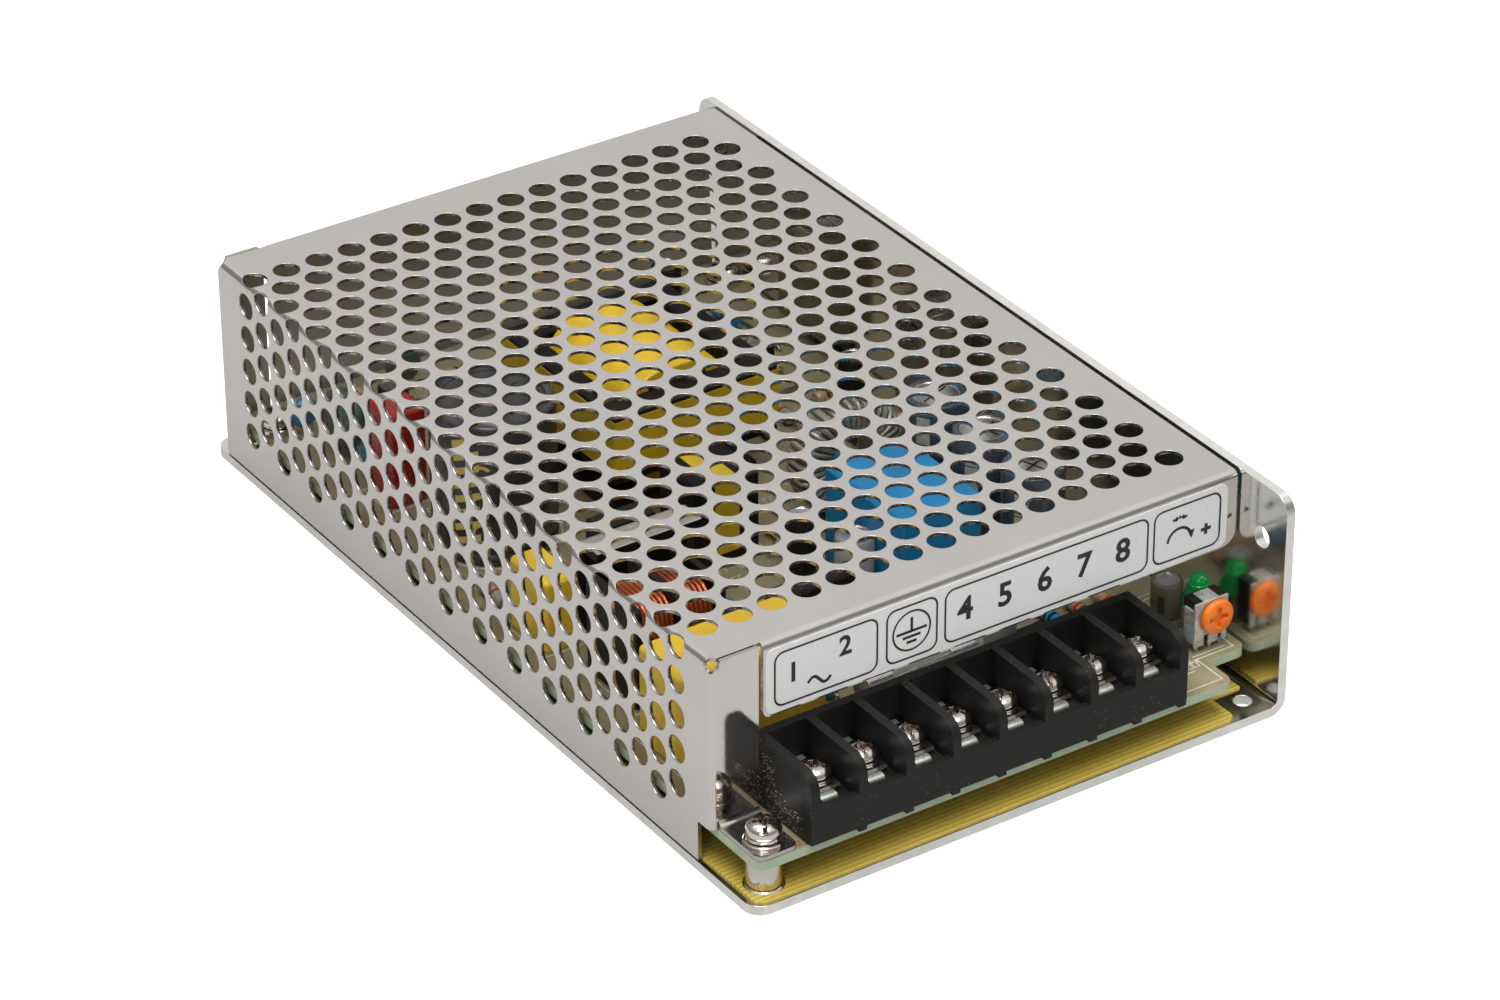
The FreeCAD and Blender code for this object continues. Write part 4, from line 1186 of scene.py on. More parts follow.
def make_fasteners():
    """Screw with two washers through the tab, the board's screws and its standoffs."""
    centre, low, high = middle("tab_screw")
    seat = board_high.z + TAB_TOP
    bm = bmesh.new()
    screw(bm, centre.x, centre.y, low.z, high.z, 62)
    washer(bm, centre.x, centre.y, seat, seat + 0.5 * MM, 3.1 * MM)
    washer(bm, centre.x, centre.y, seat + 0.56 * MM, seat + 1.12 * MM, 2.65 * MM, split=10,
           lift=0.1 * MM)
    finish_piece("tab_fastener", bm, ["nickel"], "plated_screw", replaces=["tab_screw"],
                 **FASTENER)
    names = ["board_screw_%d" % k for k in range(1, 4)]
    bm = bmesh.new()
    for k, name in enumerate(names, 1):
        centre, low, high = middle(name)
        screw(bm, centre.x, centre.y, low.z, high.z, 25 * k, steps=20)
        washer(bm, centre.x, centre.y, board_high.z, board_high.z + 1.2 * MM, 3.0 * MM)
    finish_piece("board_fasteners", bm, ["nickel"], "plated_screw", replaces=names, **FASTENER)
    names = ["standoff_%d" % k for k in range(1, 5)]
    flare = 0.25 * MM
    neck = 2.1 * MM
    bm = bmesh.new()
    for name in names:
        centre, low, high = middle(name)
        r = (high.x - low.x) / 2
        lathe(bm, [
            (BORE, high.z), (r - 0.2 * MM, high.z), (r, high.z - 0.2 * MM),
            (r, case_low.z + 2.0 * MM), (r + flare, case_low.z + 1.75 * MM),
            (r + flare, case_low.z + PLATE_TOP), (neck, case_low.z + PLATE_TOP),
            (neck, low.z), (BORE, low.z), (BORE, high.z),
        ], (centre.x, centre.y, 0), steps=40)
    finish_piece("standoff_posts", bm, ["nickel"], "plated_screw", replaces=names)
    dress("cover_side_screw", "side_fastener", ["nickel"], "plated_screw")


def make_trimmer():
    """Trimmer with a metal frame, black corners and an orange slotted disc."""
    centre, low, high = middle("trimmer_body")
    base = low.z + 1.3 * MM
    deep = high.y
    bm = bmesh.new()
    slab(bm, (low.x + 0.35 * MM, low.y + 0.5 * MM, base), (high.x - 0.1 * MM, deep, high.z), 1)
    front = low.y
    slab(bm, (low.x, front, base + 1.5 * MM), (high.x, front + 0.45 * MM, high.z - 0.05 * MM), 0)
    for start, end in ((0.0, 1.9), (2.7, 4.6), (5.2, 6.2)):
        slab(bm, (low.x + start * MM, front, base - 0.3 * MM),
             (low.x + end * MM, front + 0.45 * MM, base + 1.6 * MM), 0)
    slab(bm, (low.x, front + 0.3 * MM, base + 0.2 * MM),
         (low.x + 0.4 * MM, deep - 0.6 * MM, high.z - 1.4 * MM), 0)
    slab(bm, (centre.x - 1.4 * MM, front + 0.2 * MM, high.z - 0.3 * MM),
         (centre.x + 1.5 * MM, deep - 0.3 * MM, high.z + 0.06 * MM), 0)
    for side in (-2.2, 0.3, 2.2):
        slab(bm, (centre.x + side * MM - 0.25 * MM, front + 0.5 * MM, low.z),
             (centre.x + side * MM + 0.25 * MM, front + 1.0 * MM, base + 0.2 * MM), 0)
    finish_piece("trimmer_frame", bm, ["white_body", "moulding"], "trimmer_housing",
                 replaces=["trimmer_body"], bevel=0.1 * MM)
    centre, low, high = middle("trimmer_rotor")
    radius = (high.x - low.x) / 2
    thick = 0.9 * MM
    bm = bmesh.new()
    lathe(bm, [
        (0, thick), (radius * 0.86, thick), (radius * 0.96, thick * 0.85), (radius, thick * 0.6),
        (radius, 0), (1.1 * MM, 0), (1.1 * MM, low.y + thick - high.y), (0, low.y + thick - high.y),
    ], (0, 0, 0), steps=48)
    for long, wide in ((1.75, 0.42), (0.42, 1.75)):
        cutter = bmesh.new()
        slab(cutter, (-long * MM, -wide * MM, thick * 0.35), (long * MM, wide * MM, thick * 2))
        bm = carve(bm, cutter)
    cutter = bmesh.new()
    rod(cutter, (0, 0, thick * 0.35), (0, 0, thick * 2), 0.95 * MM, steps=20)
    bm = carve(bm, cutter)
    bm.transform(Matrix.Translation((centre.x, low.y + thick, centre.z))
                 @ Matrix.Rotation(math.radians(90), 4, "X"))
    finish_piece("trimmer_disc", bm, ["orange"], "trimmer_orange", replaces=["trimmer_rotor"],
                 body="trimmer_rotor", bevel=0.09 * MM, sharp=40)


def make_lamp():
    """Green lamp that leans to the front, with a dome, a rim and a paler foot."""
    centre, low, high = middle("indicator_lamp")
    dome = 1.48 * MM
    neck = high.z - dome
    bm = bmesh.new()
    profile = [(0, neck - 0.75 * MM), (1.56 * MM, neck - 0.75 * MM),
               (1.64 * MM, neck - 0.6 * MM), (1.62 * MM, neck - 0.35 * MM),
               (dome, neck - 0.2 * MM)]
    for k in range(9):
        angle = math.pi / 2 * k / 8
        profile.append((dome * math.cos(angle), neck + dome * math.sin(angle)))
    lathe(bm, profile, (centre.x, centre.y, 0), steps=40)
    finish_piece("lamp_lens", bm, ["lamp"], "green_lens", replaces=["indicator_lamp"])
    bm = bmesh.new()
    foot = (centre.x - 0.1 * MM, centre.y + 1.5 * MM, neck - 4.6 * MM)
    joint = (centre.x, centre.y + 0.25 * MM, neck - 0.75 * MM)
    rod(bm, foot, joint, 1.75 * MM, steps=32, radius_end=1.45 * MM)
    for side in (-1, 1):
        rod(bm, (centre.x + side * 1.1 * MM, foot[1], low.z),
            (centre.x + side * 1.1 * MM, foot[1], foot[2] + 0.3 * MM), 0.25 * MM, steps=10,
            index=1)
    finish_piece("lamp_holder", bm, ["lamp_dark", "can_metal"], "green_lens",
                 bevel=0.2 * MM)


# Tall parts

def make_can(name, finish, vent=True, gold=False):
    """Electrolytic capacitor: sleeve, recessed top, vent lines and polarity marks."""
    centre, low, high = middle(name)
    r = (high.x - low.x) / 2
    z0 = low.z
    z1 = high.z
    lip = min(1.6 * MM, r * 0.22)
    seat = (centre.x, centre.y, 0)
    bm = bmesh.new()
    lathe(bm, [
        (0, z0), (r * 0.97, z0), (r, z0 + 0.4 * MM), (r, z0 + 1.5 * MM),
        (r - 0.5 * MM, z0 + 2.1 * MM), (r, z0 + 2.7 * MM), (r, z1 - 0.5 * MM),
        (r - 0.15 * MM, z1 - 0.15 * MM), (r - 0.5 * MM, z1),
        (r - lip, z1 - 0.05 * MM), (r - lip, z1 - 0.06 * MM),
    ], seat)
    lathe(bm, [(r - lip, z1 - 0.05 * MM), (r - lip - 0.1 * MM, z1 - 0.3 * MM),
               (0, z1 - 0.3 * MM)], seat, index=1)
    if vent:
        for turn in (20, 110):
            arm = Matrix.Rotation(math.radians(turn), 2) @ Vector(((r - lip) * 0.75, 0))
            ribbon(bm, [centre.xy - arm, centre.xy + arm], 0.35 * MM, z1 - 0.28 * MM, index=2)
    rise = z1 - z0 - 5 * MM
    rows = max(3, int(rise / (2.4 * MM)))
    for k in range(rows):
        start = z0 + 3.2 * MM + rise * k / rows
        end = start + rise / rows * (0.5 if gold else 0.92)
        patch(bm, centre, r + PRINT_OUT, start, end, 1.6 * MM if gold else 0.0)
    if gold:
        for k in range(3):
            arc_patch(bm, centre, r + PRINT_OUT, z0 + 6 * MM + k * 5.2 * MM)
    slot = "can_aluminium" if name == "lamp_capacitor" else "black_sleeve"
    finish_piece(name + "_can", bm, finish, slot, replaces=[name], sharp=50)


def bridge(bm, rows, index):
    """Faces between neighbouring pairs of points."""
    for one, two in zip(rows[:-1], rows[1:]):
        bm.faces.new((one[0], two[0], two[1], one[1])).material_index = index


def patch(bm, centre, radius, low, high, slant, steps=6):
    """Printed patch on a round sleeve."""
    rows = []
    for k in range(steps + 1):
        angle = math.radians(200 + 26 * k / steps)
        rows.append([
            bm.verts.new((centre.x + radius * math.cos(angle),
                          centre.y + radius * math.sin(angle), z + slant * k / steps))
            for z in (low, high)
        ])
    bridge(bm, rows, 3)


def arc_patch(bm, centre, radius, level, steps=16):
    """Open printed ring on a round sleeve."""
    rows = []
    for k in range(steps + 1):
        turn = math.radians(40 + 290 * k / steps)
        pair = []
        for arm in (1.9 * MM, 1.292 * MM):
            angle = math.radians(228) + arm * math.cos(turn) / radius
            pair.append(bm.verts.new((
                centre.x + radius * math.cos(angle), centre.y + radius * math.sin(angle),
                level + arm * math.sin(turn),
            )))
        rows.append(pair)
    bridge(bm, rows, 3)


def make_cans():
    """All electrolytic capacitors."""
    make_can("main_capacitor", ["sleeve", "can_top", "moulding", "gold_print"], gold=True)
    for k in range(1, 4):
        make_can("output_capacitor_%d" % k, ["sleeve_grey", "can_metal", "moulding", "silk"])
    make_can("supply_capacitor", ["sleeve", "can_metal", "moulding", "silk"])
    make_can("lamp_capacitor", ["sleeve_olive", "can_satin", "moulding", "can_top"], vent=False)


def make_boxes():
    """Moulded film capacitors, rectifiers and chips with rounded edges."""
    for name, finish, slot, width in (
        ("line_capacitor", "yellow", "yellow_box", 0.5),
        ("blue_capacitor", "blue", "blue_box", 0.9),
        ("film_capacitor", "red", "red_box", 0.5),
        ("yellow_capacitor", "yellow", "yellow_box", 0.4),
        ("bridge_rectifier", "moulding", "black_moulding", 0.3),
        ("control_chip", "moulding", "black_moulding", 0.3),
        ("power_transistor", "moulding", "black_moulding", 0.25),
        ("wall_rectifier_1", "sleeve_olive", "black_moulding", 0.25),
        ("wall_rectifier_2", "sleeve_olive", "black_moulding", 0.25),
        ("choke_former", "moulding", "black_moulding", 0.2),
    ):
        dress(name, name + "_body", [finish], slot, bevel=width * MM, segments=3, sharp=25)
    # The heatsink's faces that do not face up take the near-black ferrite finish: painted shade on its
    # sides and front.
    dress("primary_heatsink", "primary_heatsink_body", ["heatsink", "ferrite"],
          "aluminium_sheet", lambda normal, centre: normal.z <= 0.9, bevel=0.2 * MM,
          segments=3, sharp=25)
    bm = bmesh.new()
    for name in ("wall_rectifier_1", "wall_rectifier_2"):
        low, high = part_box(name)
        slab(bm, (low.x - 0.7 * MM, low.y + 2.0 * MM, high.z - 7.5 * MM),
             (low.x - 0.1 * MM, high.y - 2.0 * MM, high.z - 2.5 * MM))
        slab(bm, (low.x - 0.7 * MM, low.y + 5.0 * MM, high.z - 3.0 * MM),
             (high.x, high.y - 5.0 * MM, high.z + 0.5 * MM))
    finish_piece("spring_clips", bm, ["can_metal"], "aluminium_sheet", bevel=0.15 * MM)
    dress("disc_capacitors", "disc_bodies", ["disc_blue", "disc_green"], "blue_disc",
          lambda normal, centre: centre.y > 49 * MM, bevel=0.4 * MM, segments=3, sharp=25)


def make_transformers():
    """Ferrite cores with taped windings and a tape band round the main core; the tape on the main and
    drive cores is a darker copy of the yellow tape, which is painted shade.
    """
    dress("transformer_core", "main_core", ["ferrite"], "ferrite", bevel=0.35 * MM)
    low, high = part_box("transformer_core")
    bm = bmesh.new()
    out = 0.15 * MM
    base = low.z + 1.6 * MM
    top = high.z - 0.6 * MM
    # Tape band round the core, in the darker copy of the tape: painted shade on its upright faces.
    for y in (low.y - out, high.y):
        slab(bm, (low.x - out, y, base), (high.x + out, y + out, top))
    for x in (low.x - out, high.x):
        slab(bm, (x, low.y, base), (x + out, high.y, top))
    finish_piece("core_tape", bm, ["tape_dark"], "yellow_tape")
    winding_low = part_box("transformer_winding")[0]
    dress("transformer_winding", "main_winding", ["tape", "moulding"], "yellow_tape",
          lambda normal, centre: centre.z <= winding_low.z + 2.4 * MM, bevel=0.4 * MM,
          segments=3, sharp=30)
    dress("drive_transformer", "drive_core", ["ferrite"], "ferrite", bevel=0.3 * MM)
    low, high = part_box("drive_transformer")
    bm = bmesh.new()
    # Tape over the drive core, in the same darker copy of the tape: painted shade.
    slab(bm, (low.x + 3.5 * MM, low.y - 0.12 * MM, low.z + 1.5 * MM),
         (low.x + 8.0 * MM, high.y + 0.12 * MM, high.z + 0.12 * MM))
    finish_piece("drive_tape", bm, ["tape_dark"], "yellow_tape", bevel=0.15 * MM)


def turn_outline(half_a, half_b, corner):
    """Rounded closed outline of one turn of wire."""
    return rounded([(a * half_a, b * half_b, corner)
                    for a, b in ((-1, -1), (1, -1), (1, 1), (-1, 1))], 4)


def make_windings():
    """Copper turns on the choke and on the output inductor."""
    centre, low, high = middle("choke_windings")
    wire = 0.38 * MM
    flat = turn_outline((high.y - low.y) / 2 - wire, (high.z - low.z) / 2 - wire, 3.2 * MM)
    former_low, former_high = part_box("choke_former")
    reach = (former_high.x - former_low.x) / 2 - 1.5 * MM
    bm = bmesh.new()
    turns = []
    for side in (-1, 1):
        for k in range(8):
            out = 0.6 * MM + wire + (k + 0.05) * 0.8 * MM
            if out <= reach:
                turns.append([(centre.x + side * out, centre.y + a, centre.z + b)
                              for a, b in flat])
    tubes(bm, turns, wire, cyclic=True, detail=2)
    finish_piece("choke_turns", bm, ["copper"], "copper_wire", replaces=["choke_windings"])
    centre, low, high = middle("output_inductor")
    outer = (high.x - low.x) / 2
    half = (high.y - low.y) / 2
    ring = 6.4 * MM
    count = 40
    flat = turn_outline(ring / 2 - wire, half - wire, 1.8 * MM)
    bm = bmesh.new()
    turns = []
    for k in range(count):
        angle = 2 * math.pi * k / count + 0.05
        turns.append([
            (centre.x + (outer - ring / 2 + a) * math.cos(angle), centre.y + b,
             centre.z + (outer - ring / 2 + a) * math.sin(angle)) for a, b in flat
        ])
    tubes(bm, turns, wire * 1.15, cyclic=True, detail=2)
    inset = 0.9 * MM
    lathe(bm, [
        (outer - inset, inset - half), (outer - inset, half - inset),
        (outer - ring + inset, half - inset), (outer - ring + inset, inset - half),
        (outer - inset, inset - half),
    ], centre, steps=40, axis="Y")
    tubes(bm, [
        [(centre.x + s * 3 * MM, centre.y + s * half * 0.6, board_high.z + rise)
         for rise in (0, 4 * MM)] for s in (-1, 1)
    ], wire, detail=2)
    finish_piece("inductor_turns", bm, ["varnished"], "copper_wire",
                 replaces=["output_inductor"])


def make_fuse():
    """Glass fuse between two spring clips."""
    centre, low, high = middle("line_fuse")
    radius = 2.6 * MM
    z = low.z + 1.0 * MM + radius
    bm = bmesh.new()
    rod(bm, (low.x + 4.4 * MM, centre.y, z), (high.x - 4.4 * MM, centre.y, z), radius * 0.94,
        steps=32)
    finish_piece("fuse_tube", bm, ["glass"], "fuse_glass", replaces=["line_fuse"])
    bm = bmesh.new()
    for start, end in ((low.x, low.x + 4.6 * MM), (high.x - 4.6 * MM, high.x)):
        rod(bm, (start, centre.y, z), (end, centre.y, z), radius, steps=32)
        mid_x = (start + end) / 2
        for side in (-1, 1):
            slab(bm, (mid_x - 1.8 * MM, centre.y + side * radius - 0.2 * MM, low.z),
                 (mid_x + 1.8 * MM, centre.y + side * radius + 0.2 * MM, z + 1.4 * MM))
    rod(bm, (low.x + 4 * MM, centre.y, z), (high.x - 4 * MM, centre.y, z + 0.6 * MM), 0.12 * MM,
        steps=6)
    finish_piece("fuse_caps", bm, ["can_metal"], "fuse_glass", bevel=0.15 * MM)


# Small parts on the board

def add_resistor(bm, x, y, angle, body, bands):
    """Lying resistor or diode with its bent leads."""
    length = 6.4 * MM
    radius = 1.15 * MM
    z = board_high.z + radius + 0.2 * MM
    turn = Matrix.Translation((x, y, z)) @ Matrix.Rotation(math.radians(angle), 4, "Z")
    half = length / 2
    profile = [
        (0, -half), (radius * 0.8, -half), (radius, -half * 0.88), (radius, -half * 0.62),
        (radius * 0.88, -half * 0.5), (radius * 0.88, half * 0.5), (radius, half * 0.62),
        (radius, half * 0.88), (radius * 0.8, half), (0, half),
    ]
    points = lathe(bm, profile, (0, 0, 0), steps=14, index=body, axis="X")
    bmesh.ops.transform(bm, matrix=turn, verts=points)
    for place, index in bands:
        ends = [turn @ Vector((place * half + s * length * 0.04, 0, 0)) for s in (-1, 1)]
        rod(bm, ends[0], ends[1], radius * 0.93, steps=14, index=index)
    for side in (-1, 1):
        path = [turn @ Vector((side * half * 0.95, 0, 0)),
                turn @ Vector((side * (half + 1.2 * MM), 0, 0)),
                turn @ Vector((side * (half + 1.5 * MM), 0, board_high.z - z))]
        tubes(bm, [path], LEAD)


def make_small_parts():
    """Resistors, diodes, jumpers and small capacitors between the tall parts."""
    # The rows below name a finish by its place in this list.
    keys = ["can_metal", "tan", "band_red", "band_brown", "moulding", "gold_print",
            "blue", "grey", "disc_green", "disc_blue", "silk", "red", "rust"]
    bm = bmesh.new()
    tan = (1, ((-0.75, 2), (-0.35, 3), (0.0, 2), (0.7, 5)))
    sky = (6, ((-0.75, 3), (-0.35, 4), (0.0, 3), (0.7, 5)))
    dark = (4, ((0.7, 10),))
    grey = (7, ((-0.7, 3), (-0.2, 2), (0.7, 5)))
    rows = (
        (30.5, -51.0, 90, tan), (35.3, -52.0, 90, tan), (25.5, -50.0, 90, sky),
        (20.0, -52.0, 0, dark), (12.5, -49.0, 90, grey), (13.0, -42.0, 0, tan),
        (-8.0, -44.5, 0, tan), (2.0, -43.0, 0, dark), (-14.0, -46.0, 90, sky),
        (-11.0, -27.0, 90, tan), (-5.0, -26.0, 90, dark), (1.5, -25.0, 90, grey),
        (-15.0, -14.0, 90, tan), (-16.5, -25.0, 90, dark), (5.0, -10.5, 0, tan),
        (26.0, 9.0, 90, sky), (31.5, 10.0, 90, dark), (21.0, 22.0, 90, tan),
        (26.0, 24.0, 90, grey), (36.0, 24.0, 0, tan), (33.0, 38.0, 90, tan),
        (26.0, 40.0, 90, dark), (25.0, 55.0, 90, tan), (31.0, 56.0, 90, tan),
        (36.0, 55.0, 90, sky), (-8.0, 50.0, 90, tan), (-13.0, 52.0, 90, dark),
        (-20.0, 46.0, 90, tan), (-24.0, 40.0, 0, tan), (-25.0, 60.0, 0, dark),
        (-10.0, 64.0, 0, tan), (3.0, 66.5, 0, grey), (-19.0, 7.0, 90, dark),
        (-41.5, 3.0, 90, grey), (-27.0, 34.0, 0, tan), (20.0, 64.0, 90, tan),
        (-16.0, 56.0, 90, grey),
    )
    for x, y, angle, (body, bands) in rows:
        add_resistor(bm, x * MM, y * MM, angle, body, bands)
    finish_piece("board_parts", bm, keys, "board_laminate", sharp=40)
    bm = bmesh.new()
    for x, y, r, tall, index in (
        (12.5, -55.0, 2.5, 11.0, 7), (2.0, -17.0, 2.5, 11.0, 4), (-2.0, -32.0, 2.0, 7.0, 7),
        (26.5, 31.0, 2.5, 11.0, 4), (38.5, 21.5, 2.5, 9.0, 4), (8.0, 48.0, 2.0, 8.0, 4),
        (30.0, 64.0, 2.5, 9.0, 4), (-30.0, 52.0, 2.5, 11.0, 4), (4.5, -28.0, 3.1, 12.0, 7),
    ):
        z = board_high.z
        lathe(bm, [(0, z), (r * MM, z), (r * MM, z + (tall - 0.4) * MM),
                   ((r - 0.4) * MM, z + tall * MM)], (x * MM, y * MM, 0), steps=28, index=index)
        lathe(bm, [((r - 0.4) * MM, z + tall * MM), ((r - 0.5) * MM, z + (tall - 0.2) * MM),
                   (0, z + (tall - 0.2) * MM)], (x * MM, y * MM, 0), steps=28)
    for x, y, r, index in (
        (-19.5, -27.0, 3.4, 9), (16.0, -44.0, 3.0, 9), (36.0, 3.5, 3.2, 1),
        (22.0, 47.0, 2.8, 1), (-33.0, 60.0, 3.0, 1), (-20.0, 66.0, 3.2, 8), (6.5, -36.5, 2.4, 11),
        (-40.5, 63.0, 2.6, 9),
    ):
        z = board_high.z + r * MM + 1.5 * MM
        lathe(bm, [(0, -0.9 * MM), (r * 0.6 * MM, -1.2 * MM), (r * 0.95 * MM, -0.6 * MM),
                   (r * MM, 0), (r * 0.95 * MM, 0.6 * MM), (r * 0.6 * MM, 1.2 * MM),
                   (0, 0.9 * MM)], (x * MM, y * MM, z), steps=28, index=index, axis="Y")
        tubes(bm, [[(x * MM + s * r * 0.6 * MM, y * MM, board_high.z),
                    (x * MM + s * r * 0.6 * MM, y * MM, z - r * 0.6 * MM)]
                   for s in (-1, 1)], LEAD)
    finish_piece("board_discs", bm, keys, "board_laminate", sharp=50)
    bm = bmesh.new()
    jumpers = (
        (16, -60, 26, -60), (-14, -48, -14, -40), (4, -12, 4, -2), (22, 15, 22, 5),
        (36, 30, 24, 30), (18, 34, 18, 46), (-18, 30, -18, 42), (-30, 66, -16, 66),
        (0, 62, 12, 62), (38, 42, 38, 58), (-22, 2, -22, -6), (-8, -22, 2, -22),
        (-36, 68, -36, 60), (24, 68, 36, 68), (28, 16, 38, 16),
    )
    paths = []
    rise = Vector((0, 0, 0.7 * MM))
    for x0, y0, x1, y1 in jumpers:
        a = Vector((x0 * MM, y0 * MM, board_high.z))
        b = Vector((x1 * MM, y1 * MM, board_high.z))
        inset = (b - a).normalized() * 0.5 * MM
        paths.append([a, a + rise * 0.8 + inset * 0.2, a + rise + inset, b + rise - inset,
                      b + rise * 0.8 - inset * 0.2, b])
    tubes(bm, paths, 0.32 * MM, detail=2)
    finish_piece("board_jumpers", bm, ["solder"], "plated_screw")
    bm = bmesh.new()
    picker = random.Random(11)
    for _ in range(7):
        x = block_low.x - picker.uniform(0.4, 2.4) * MM
        y = board_low.y + picker.uniform(0.5, 1.6) * MM
        flake = bmesh.ops.create_icosphere(
            bm, subdivisions=1, radius=picker.uniform(0.12, 0.3) * MM,
            matrix=Matrix.Translation((x, y, board_high.z + 0.02 * MM)),
        )
        for vert in flake["verts"]:
            vert.co.z = board_high.z + (vert.co.z - board_high.z) * 0.4
            vert.co.x += picker.uniform(-0.1, 0.1) * MM
    finish_piece("board_flux", bm, ["rust"], "board_laminate")
    bm = bmesh.new()
    centre, low, high = middle("trimmer_body")
    lathe(bm, [(0, 0), (1.1 * MM, 0.1 * MM), (1.3 * MM, 0.6 * MM), (1.3 * MM, 2.2 * MM),
               (0.8 * MM, 2.9 * MM), (0, 3.0 * MM)],
          (low.x - 1.7 * MM, centre.y + 0.6 * MM, board_high.z + 0.4 * MM), steps=20)
    finish_piece("blue_bead", bm, ["disc_blue"], "blue_disc")


# Operators

class SUPPLY_OT_stage(bpy.types.Operator):
    """Floor, room, lights and camera"""

    bl_idname = "supply.stage"
    bl_label = "Set the stage"

    def execute(self, context):
        values = context.scene.supply_studio
        bm = bmesh.new()
        bmesh.ops.create_grid(bm, x_segments=1, y_segments=1, size=2.0)
        mesh = bpy.data.meshes.new("floor")
        bm.to_mesh(mesh)
        bm.free()
        mesh.materials.append(self.floor_white())
        floor = bpy.data.objects.new("floor", mesh)
        context.scene.collection.objects.link(floor)
        floor.location.z = -0.05 * MM
        self.light_room(context, values)
        self.place_camera(context, values)
        return {"FINISHED"}

    def span(self, tree, value, *numbers):
        """Smooth step of a value, by its start and end, and the results there."""
        node = add_node(tree, "ShaderNodeMapRange", value, *numbers,
                        interpolation_type="SMOOTHSTEP")
        return node.outputs[0]

    def floor_white(self):
        """White to the camera; as a light on the object, paler behind than in front."""
        material = bpy.data.materials.new("floor_white")
        material.use_nodes = True
        tree = material.node_tree
        where = add_node(tree, "ShaderNodeTexCoord").outputs["Object"]
        along = add_node(tree, "ShaderNodeSeparateXYZ", where).outputs["Y"]
        path = add_node(tree, "ShaderNodeLightPath")
        for key, value in (
            ("Roughness", 0.9),
            ("Base Color", self.span(tree, along, -0.24, -0.12, 0.24, 0.44)),
            ("Emission Color", (1, 1, 1, 1)),
            ("Emission Strength", path.outputs["Is Camera Ray"]),
        ):
            feed(tree, tree.nodes["Principled BSDF"].inputs[key], value)
        return material

    def light_room(self, context, values):
        """Pale room, darker low on the left and in front, and two large soft lights."""
        world = bpy.data.worlds.new("studio_room")
        context.scene.world = world
        world.use_nodes = True
        tree = world.node_tree
        where = add_node(tree, "ShaderNodeTexCoord").outputs["Generated"]
        x, y, z = add_node(tree, "ShaderNodeSeparateXYZ", where).outputs
        level = self.span(tree, z, 0.2, 0.95, 0.80, 1.12)
        for side, start, end, top, bottom, dark in (
            (x, -0.10, -0.30, 0.76, 0.58, 0.58), (y, -0.35, -0.65, 0.82, 0.50, 0.55),
        ):
            beside = self.span(tree, side, start, end, 0.0, dark)
            below = self.span(tree, z, top, bottom, 0.0, 1.0)
            shade = calculated(tree, "MULTIPLY", beside, below)
            rest = calculated(tree, "SUBTRACT", 1.0, shade)
            level = calculated(tree, "MULTIPLY", level, rest)
        feed(tree, tree.nodes["Background"].inputs["Color"], level)
        feed(tree, tree.nodes["Background"].inputs["Strength"], values.sky)
        for name, spot, size, power in (
            ("key_light", Vector((-0.15, -0.25, 1.0)), 0.9, values.key),
            ("fill_light", Vector((-0.9, -0.9, 0.5)), 0.6, values.fill),
        ):
            data = bpy.data.lights.new(name, "AREA")
            data.shape = "DISK"
            data.size = size
            data.energy = power
            lamp = bpy.data.objects.new(name, data)
            context.scene.collection.objects.link(lamp)
            lamp.location = spot
            lamp.rotation_euler = (-spot).to_track_quat("-Z", "Y").to_euler()
        context.scene.view_settings.view_transform = "Standard"

    def place_camera(self, context, values):
        data = bpy.data.cameras.new("camera")
        data.lens = values.lens
        data.sensor_width = 36.0
        camera = bpy.data.objects.new("camera", data)
        context.scene.collection.objects.link(camera)
        spot = Vector(values.camera_place)
        sight = Vector(values.aim) - spot
        turn = sight.to_track_quat("-Z", "Y").to_matrix() @ Matrix.Rotation(values.roll, 3, "Z")
        camera.matrix_world = Matrix.Translation(spot) @ turn.to_4x4()
        context.scene.camera = camera


class DressStep:
    """What the steps share: each makes its pieces one after the other."""

    makers = ()

    def execute(self, context):
        for make in self.makers:
            make()
        return {"FINISHED"}


class SUPPLY_OT_cover(DressStep, bpy.types.Operator):
    """Punched cover with round holes that follow the left fold"""

    bl_idname = "supply.cover"
    bl_label = "Fold the cover"
    makers = (make_cover,)


class SUPPLY_OT_case(DressStep, bpy.types.Operator):
    """Aluminium plate and wall, film and label"""

    bl_idname = "supply.case"
    bl_label = "Dress the case"
    makers = (make_chassis, make_film, make_label)


class SUPPLY_OT_board(DressStep, bpy.types.Operator):
    """Circuit board, its print and the small parts on it"""

    bl_idname = "supply.board"
    bl_label = "Fill the board"
    makers = (make_board, make_board_print, make_small_parts)


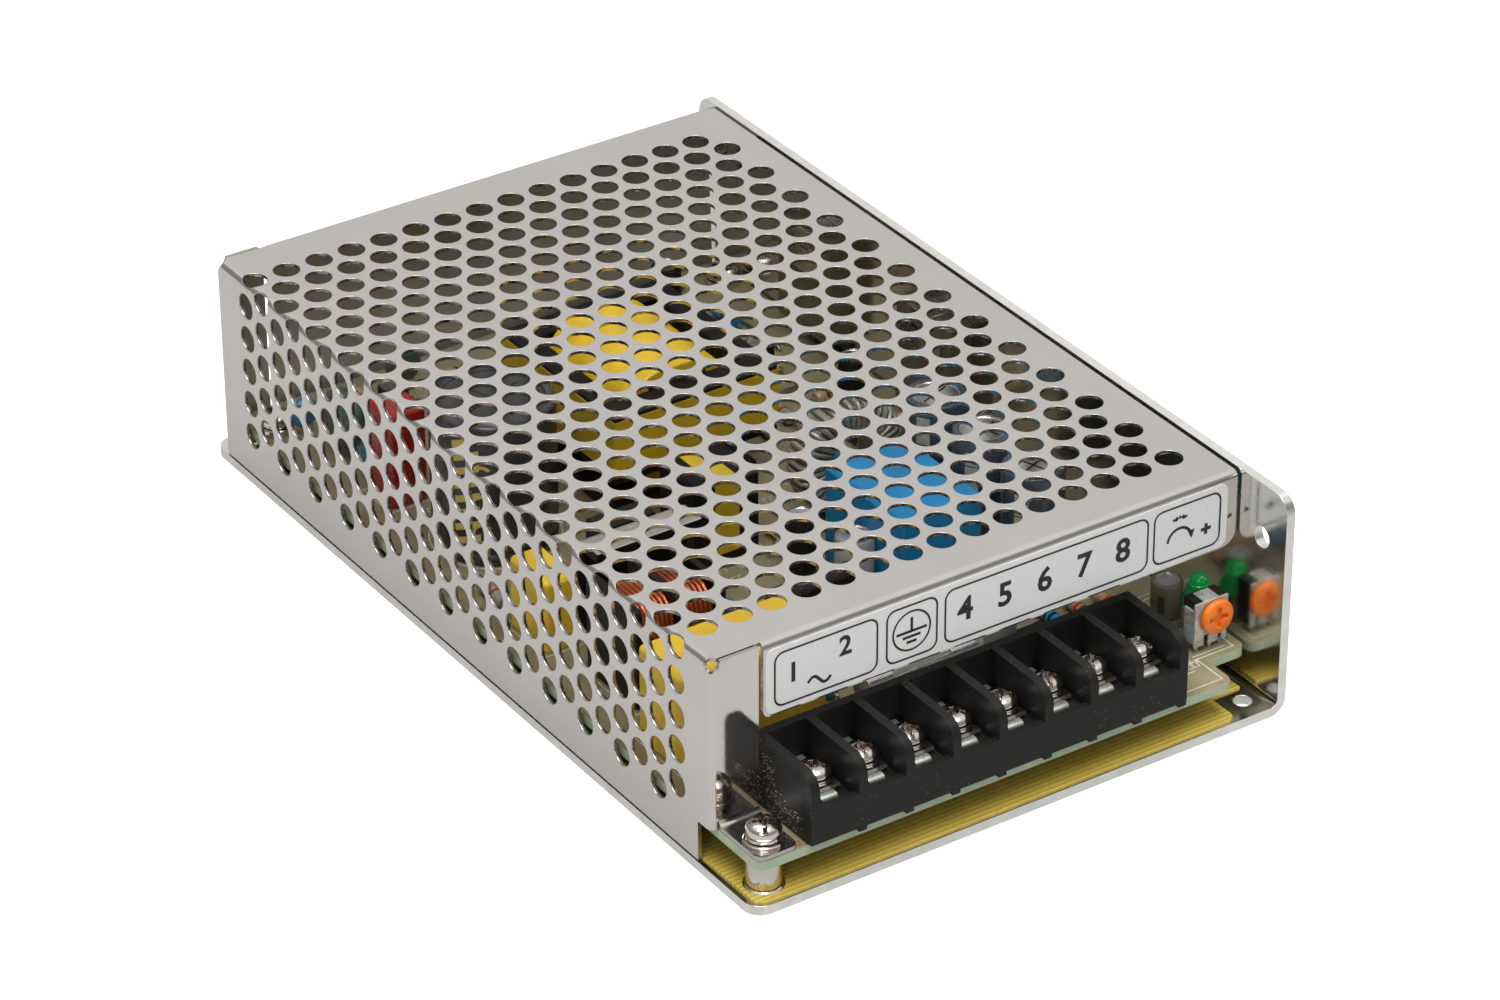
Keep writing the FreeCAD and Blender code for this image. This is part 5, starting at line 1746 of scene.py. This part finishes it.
class SUPPLY_OT_terminals(DressStep, bpy.types.Operator):
    """Terminal block, contacts, clamp screws and fasteners"""

    bl_idname = "supply.terminals"
    bl_label = "Fit the terminals"
    makers = (make_block, make_contacts, make_terminal_screws, make_fasteners)


class SUPPLY_OT_controls(DressStep, bpy.types.Operator):
    """Trimmer and indicator lamp"""

    bl_idname = "supply.controls"
    bl_label = "Fit the trimmer and lamp"
    makers = (make_trimmer, make_lamp)


class SUPPLY_OT_tall_parts(DressStep, bpy.types.Operator):
    """Capacitors, transformers, windings, power devices and the fuse"""

    bl_idname = "supply.tall_parts"
    bl_label = "Fit the tall parts"
    makers = (make_cans, make_boxes, make_transformers, make_windings, make_fuse)


class SUPPLY_PT_panel(bpy.types.Panel):
    """Lists the steps that dress the supply"""

    bl_label = "Mesh case supply"
    bl_idname = "SUPPLY_PT_panel"
    bl_space_type = "VIEW_3D"
    bl_region_type = "UI"
    bl_category = "Supply"

    def draw(self, context):
        for step in STEPS:
            self.layout.operator(step.bl_idname)


GROUPS = (SheetSizes, FinishColours, StudioValues)
STEPS = (
    SUPPLY_OT_stage, SUPPLY_OT_cover, SUPPLY_OT_case, SUPPLY_OT_board, SUPPLY_OT_terminals,
    SUPPLY_OT_controls, SUPPLY_OT_tall_parts,
)


def register():
    for kind in GROUPS + STEPS + (SUPPLY_PT_panel,):
        bpy.utils.register_class(kind)
    bpy.types.Scene.supply_sheet = PointerProperty(type=SheetSizes)
    bpy.types.Scene.supply_colours = PointerProperty(type=FinishColours)
    bpy.types.Scene.supply_studio = PointerProperty(type=StudioValues)


def unregister():
    del bpy.types.Scene.supply_studio
    del bpy.types.Scene.supply_colours
    del bpy.types.Scene.supply_sheet
    for kind in reversed(GROUPS + STEPS + (SUPPLY_PT_panel,)):
        bpy.utils.unregister_class(kind)


def main():
    register()
    for make in (make_mottle_group, make_grain_group, make_speck_group, make_stripe_group):
        make()
    finishes.update(make_materials())
    for step in STEPS:
        family, name = step.bl_idname.split(".")
        getattr(getattr(bpy.ops, family), name)()


if __name__ == "__main__":
    main()
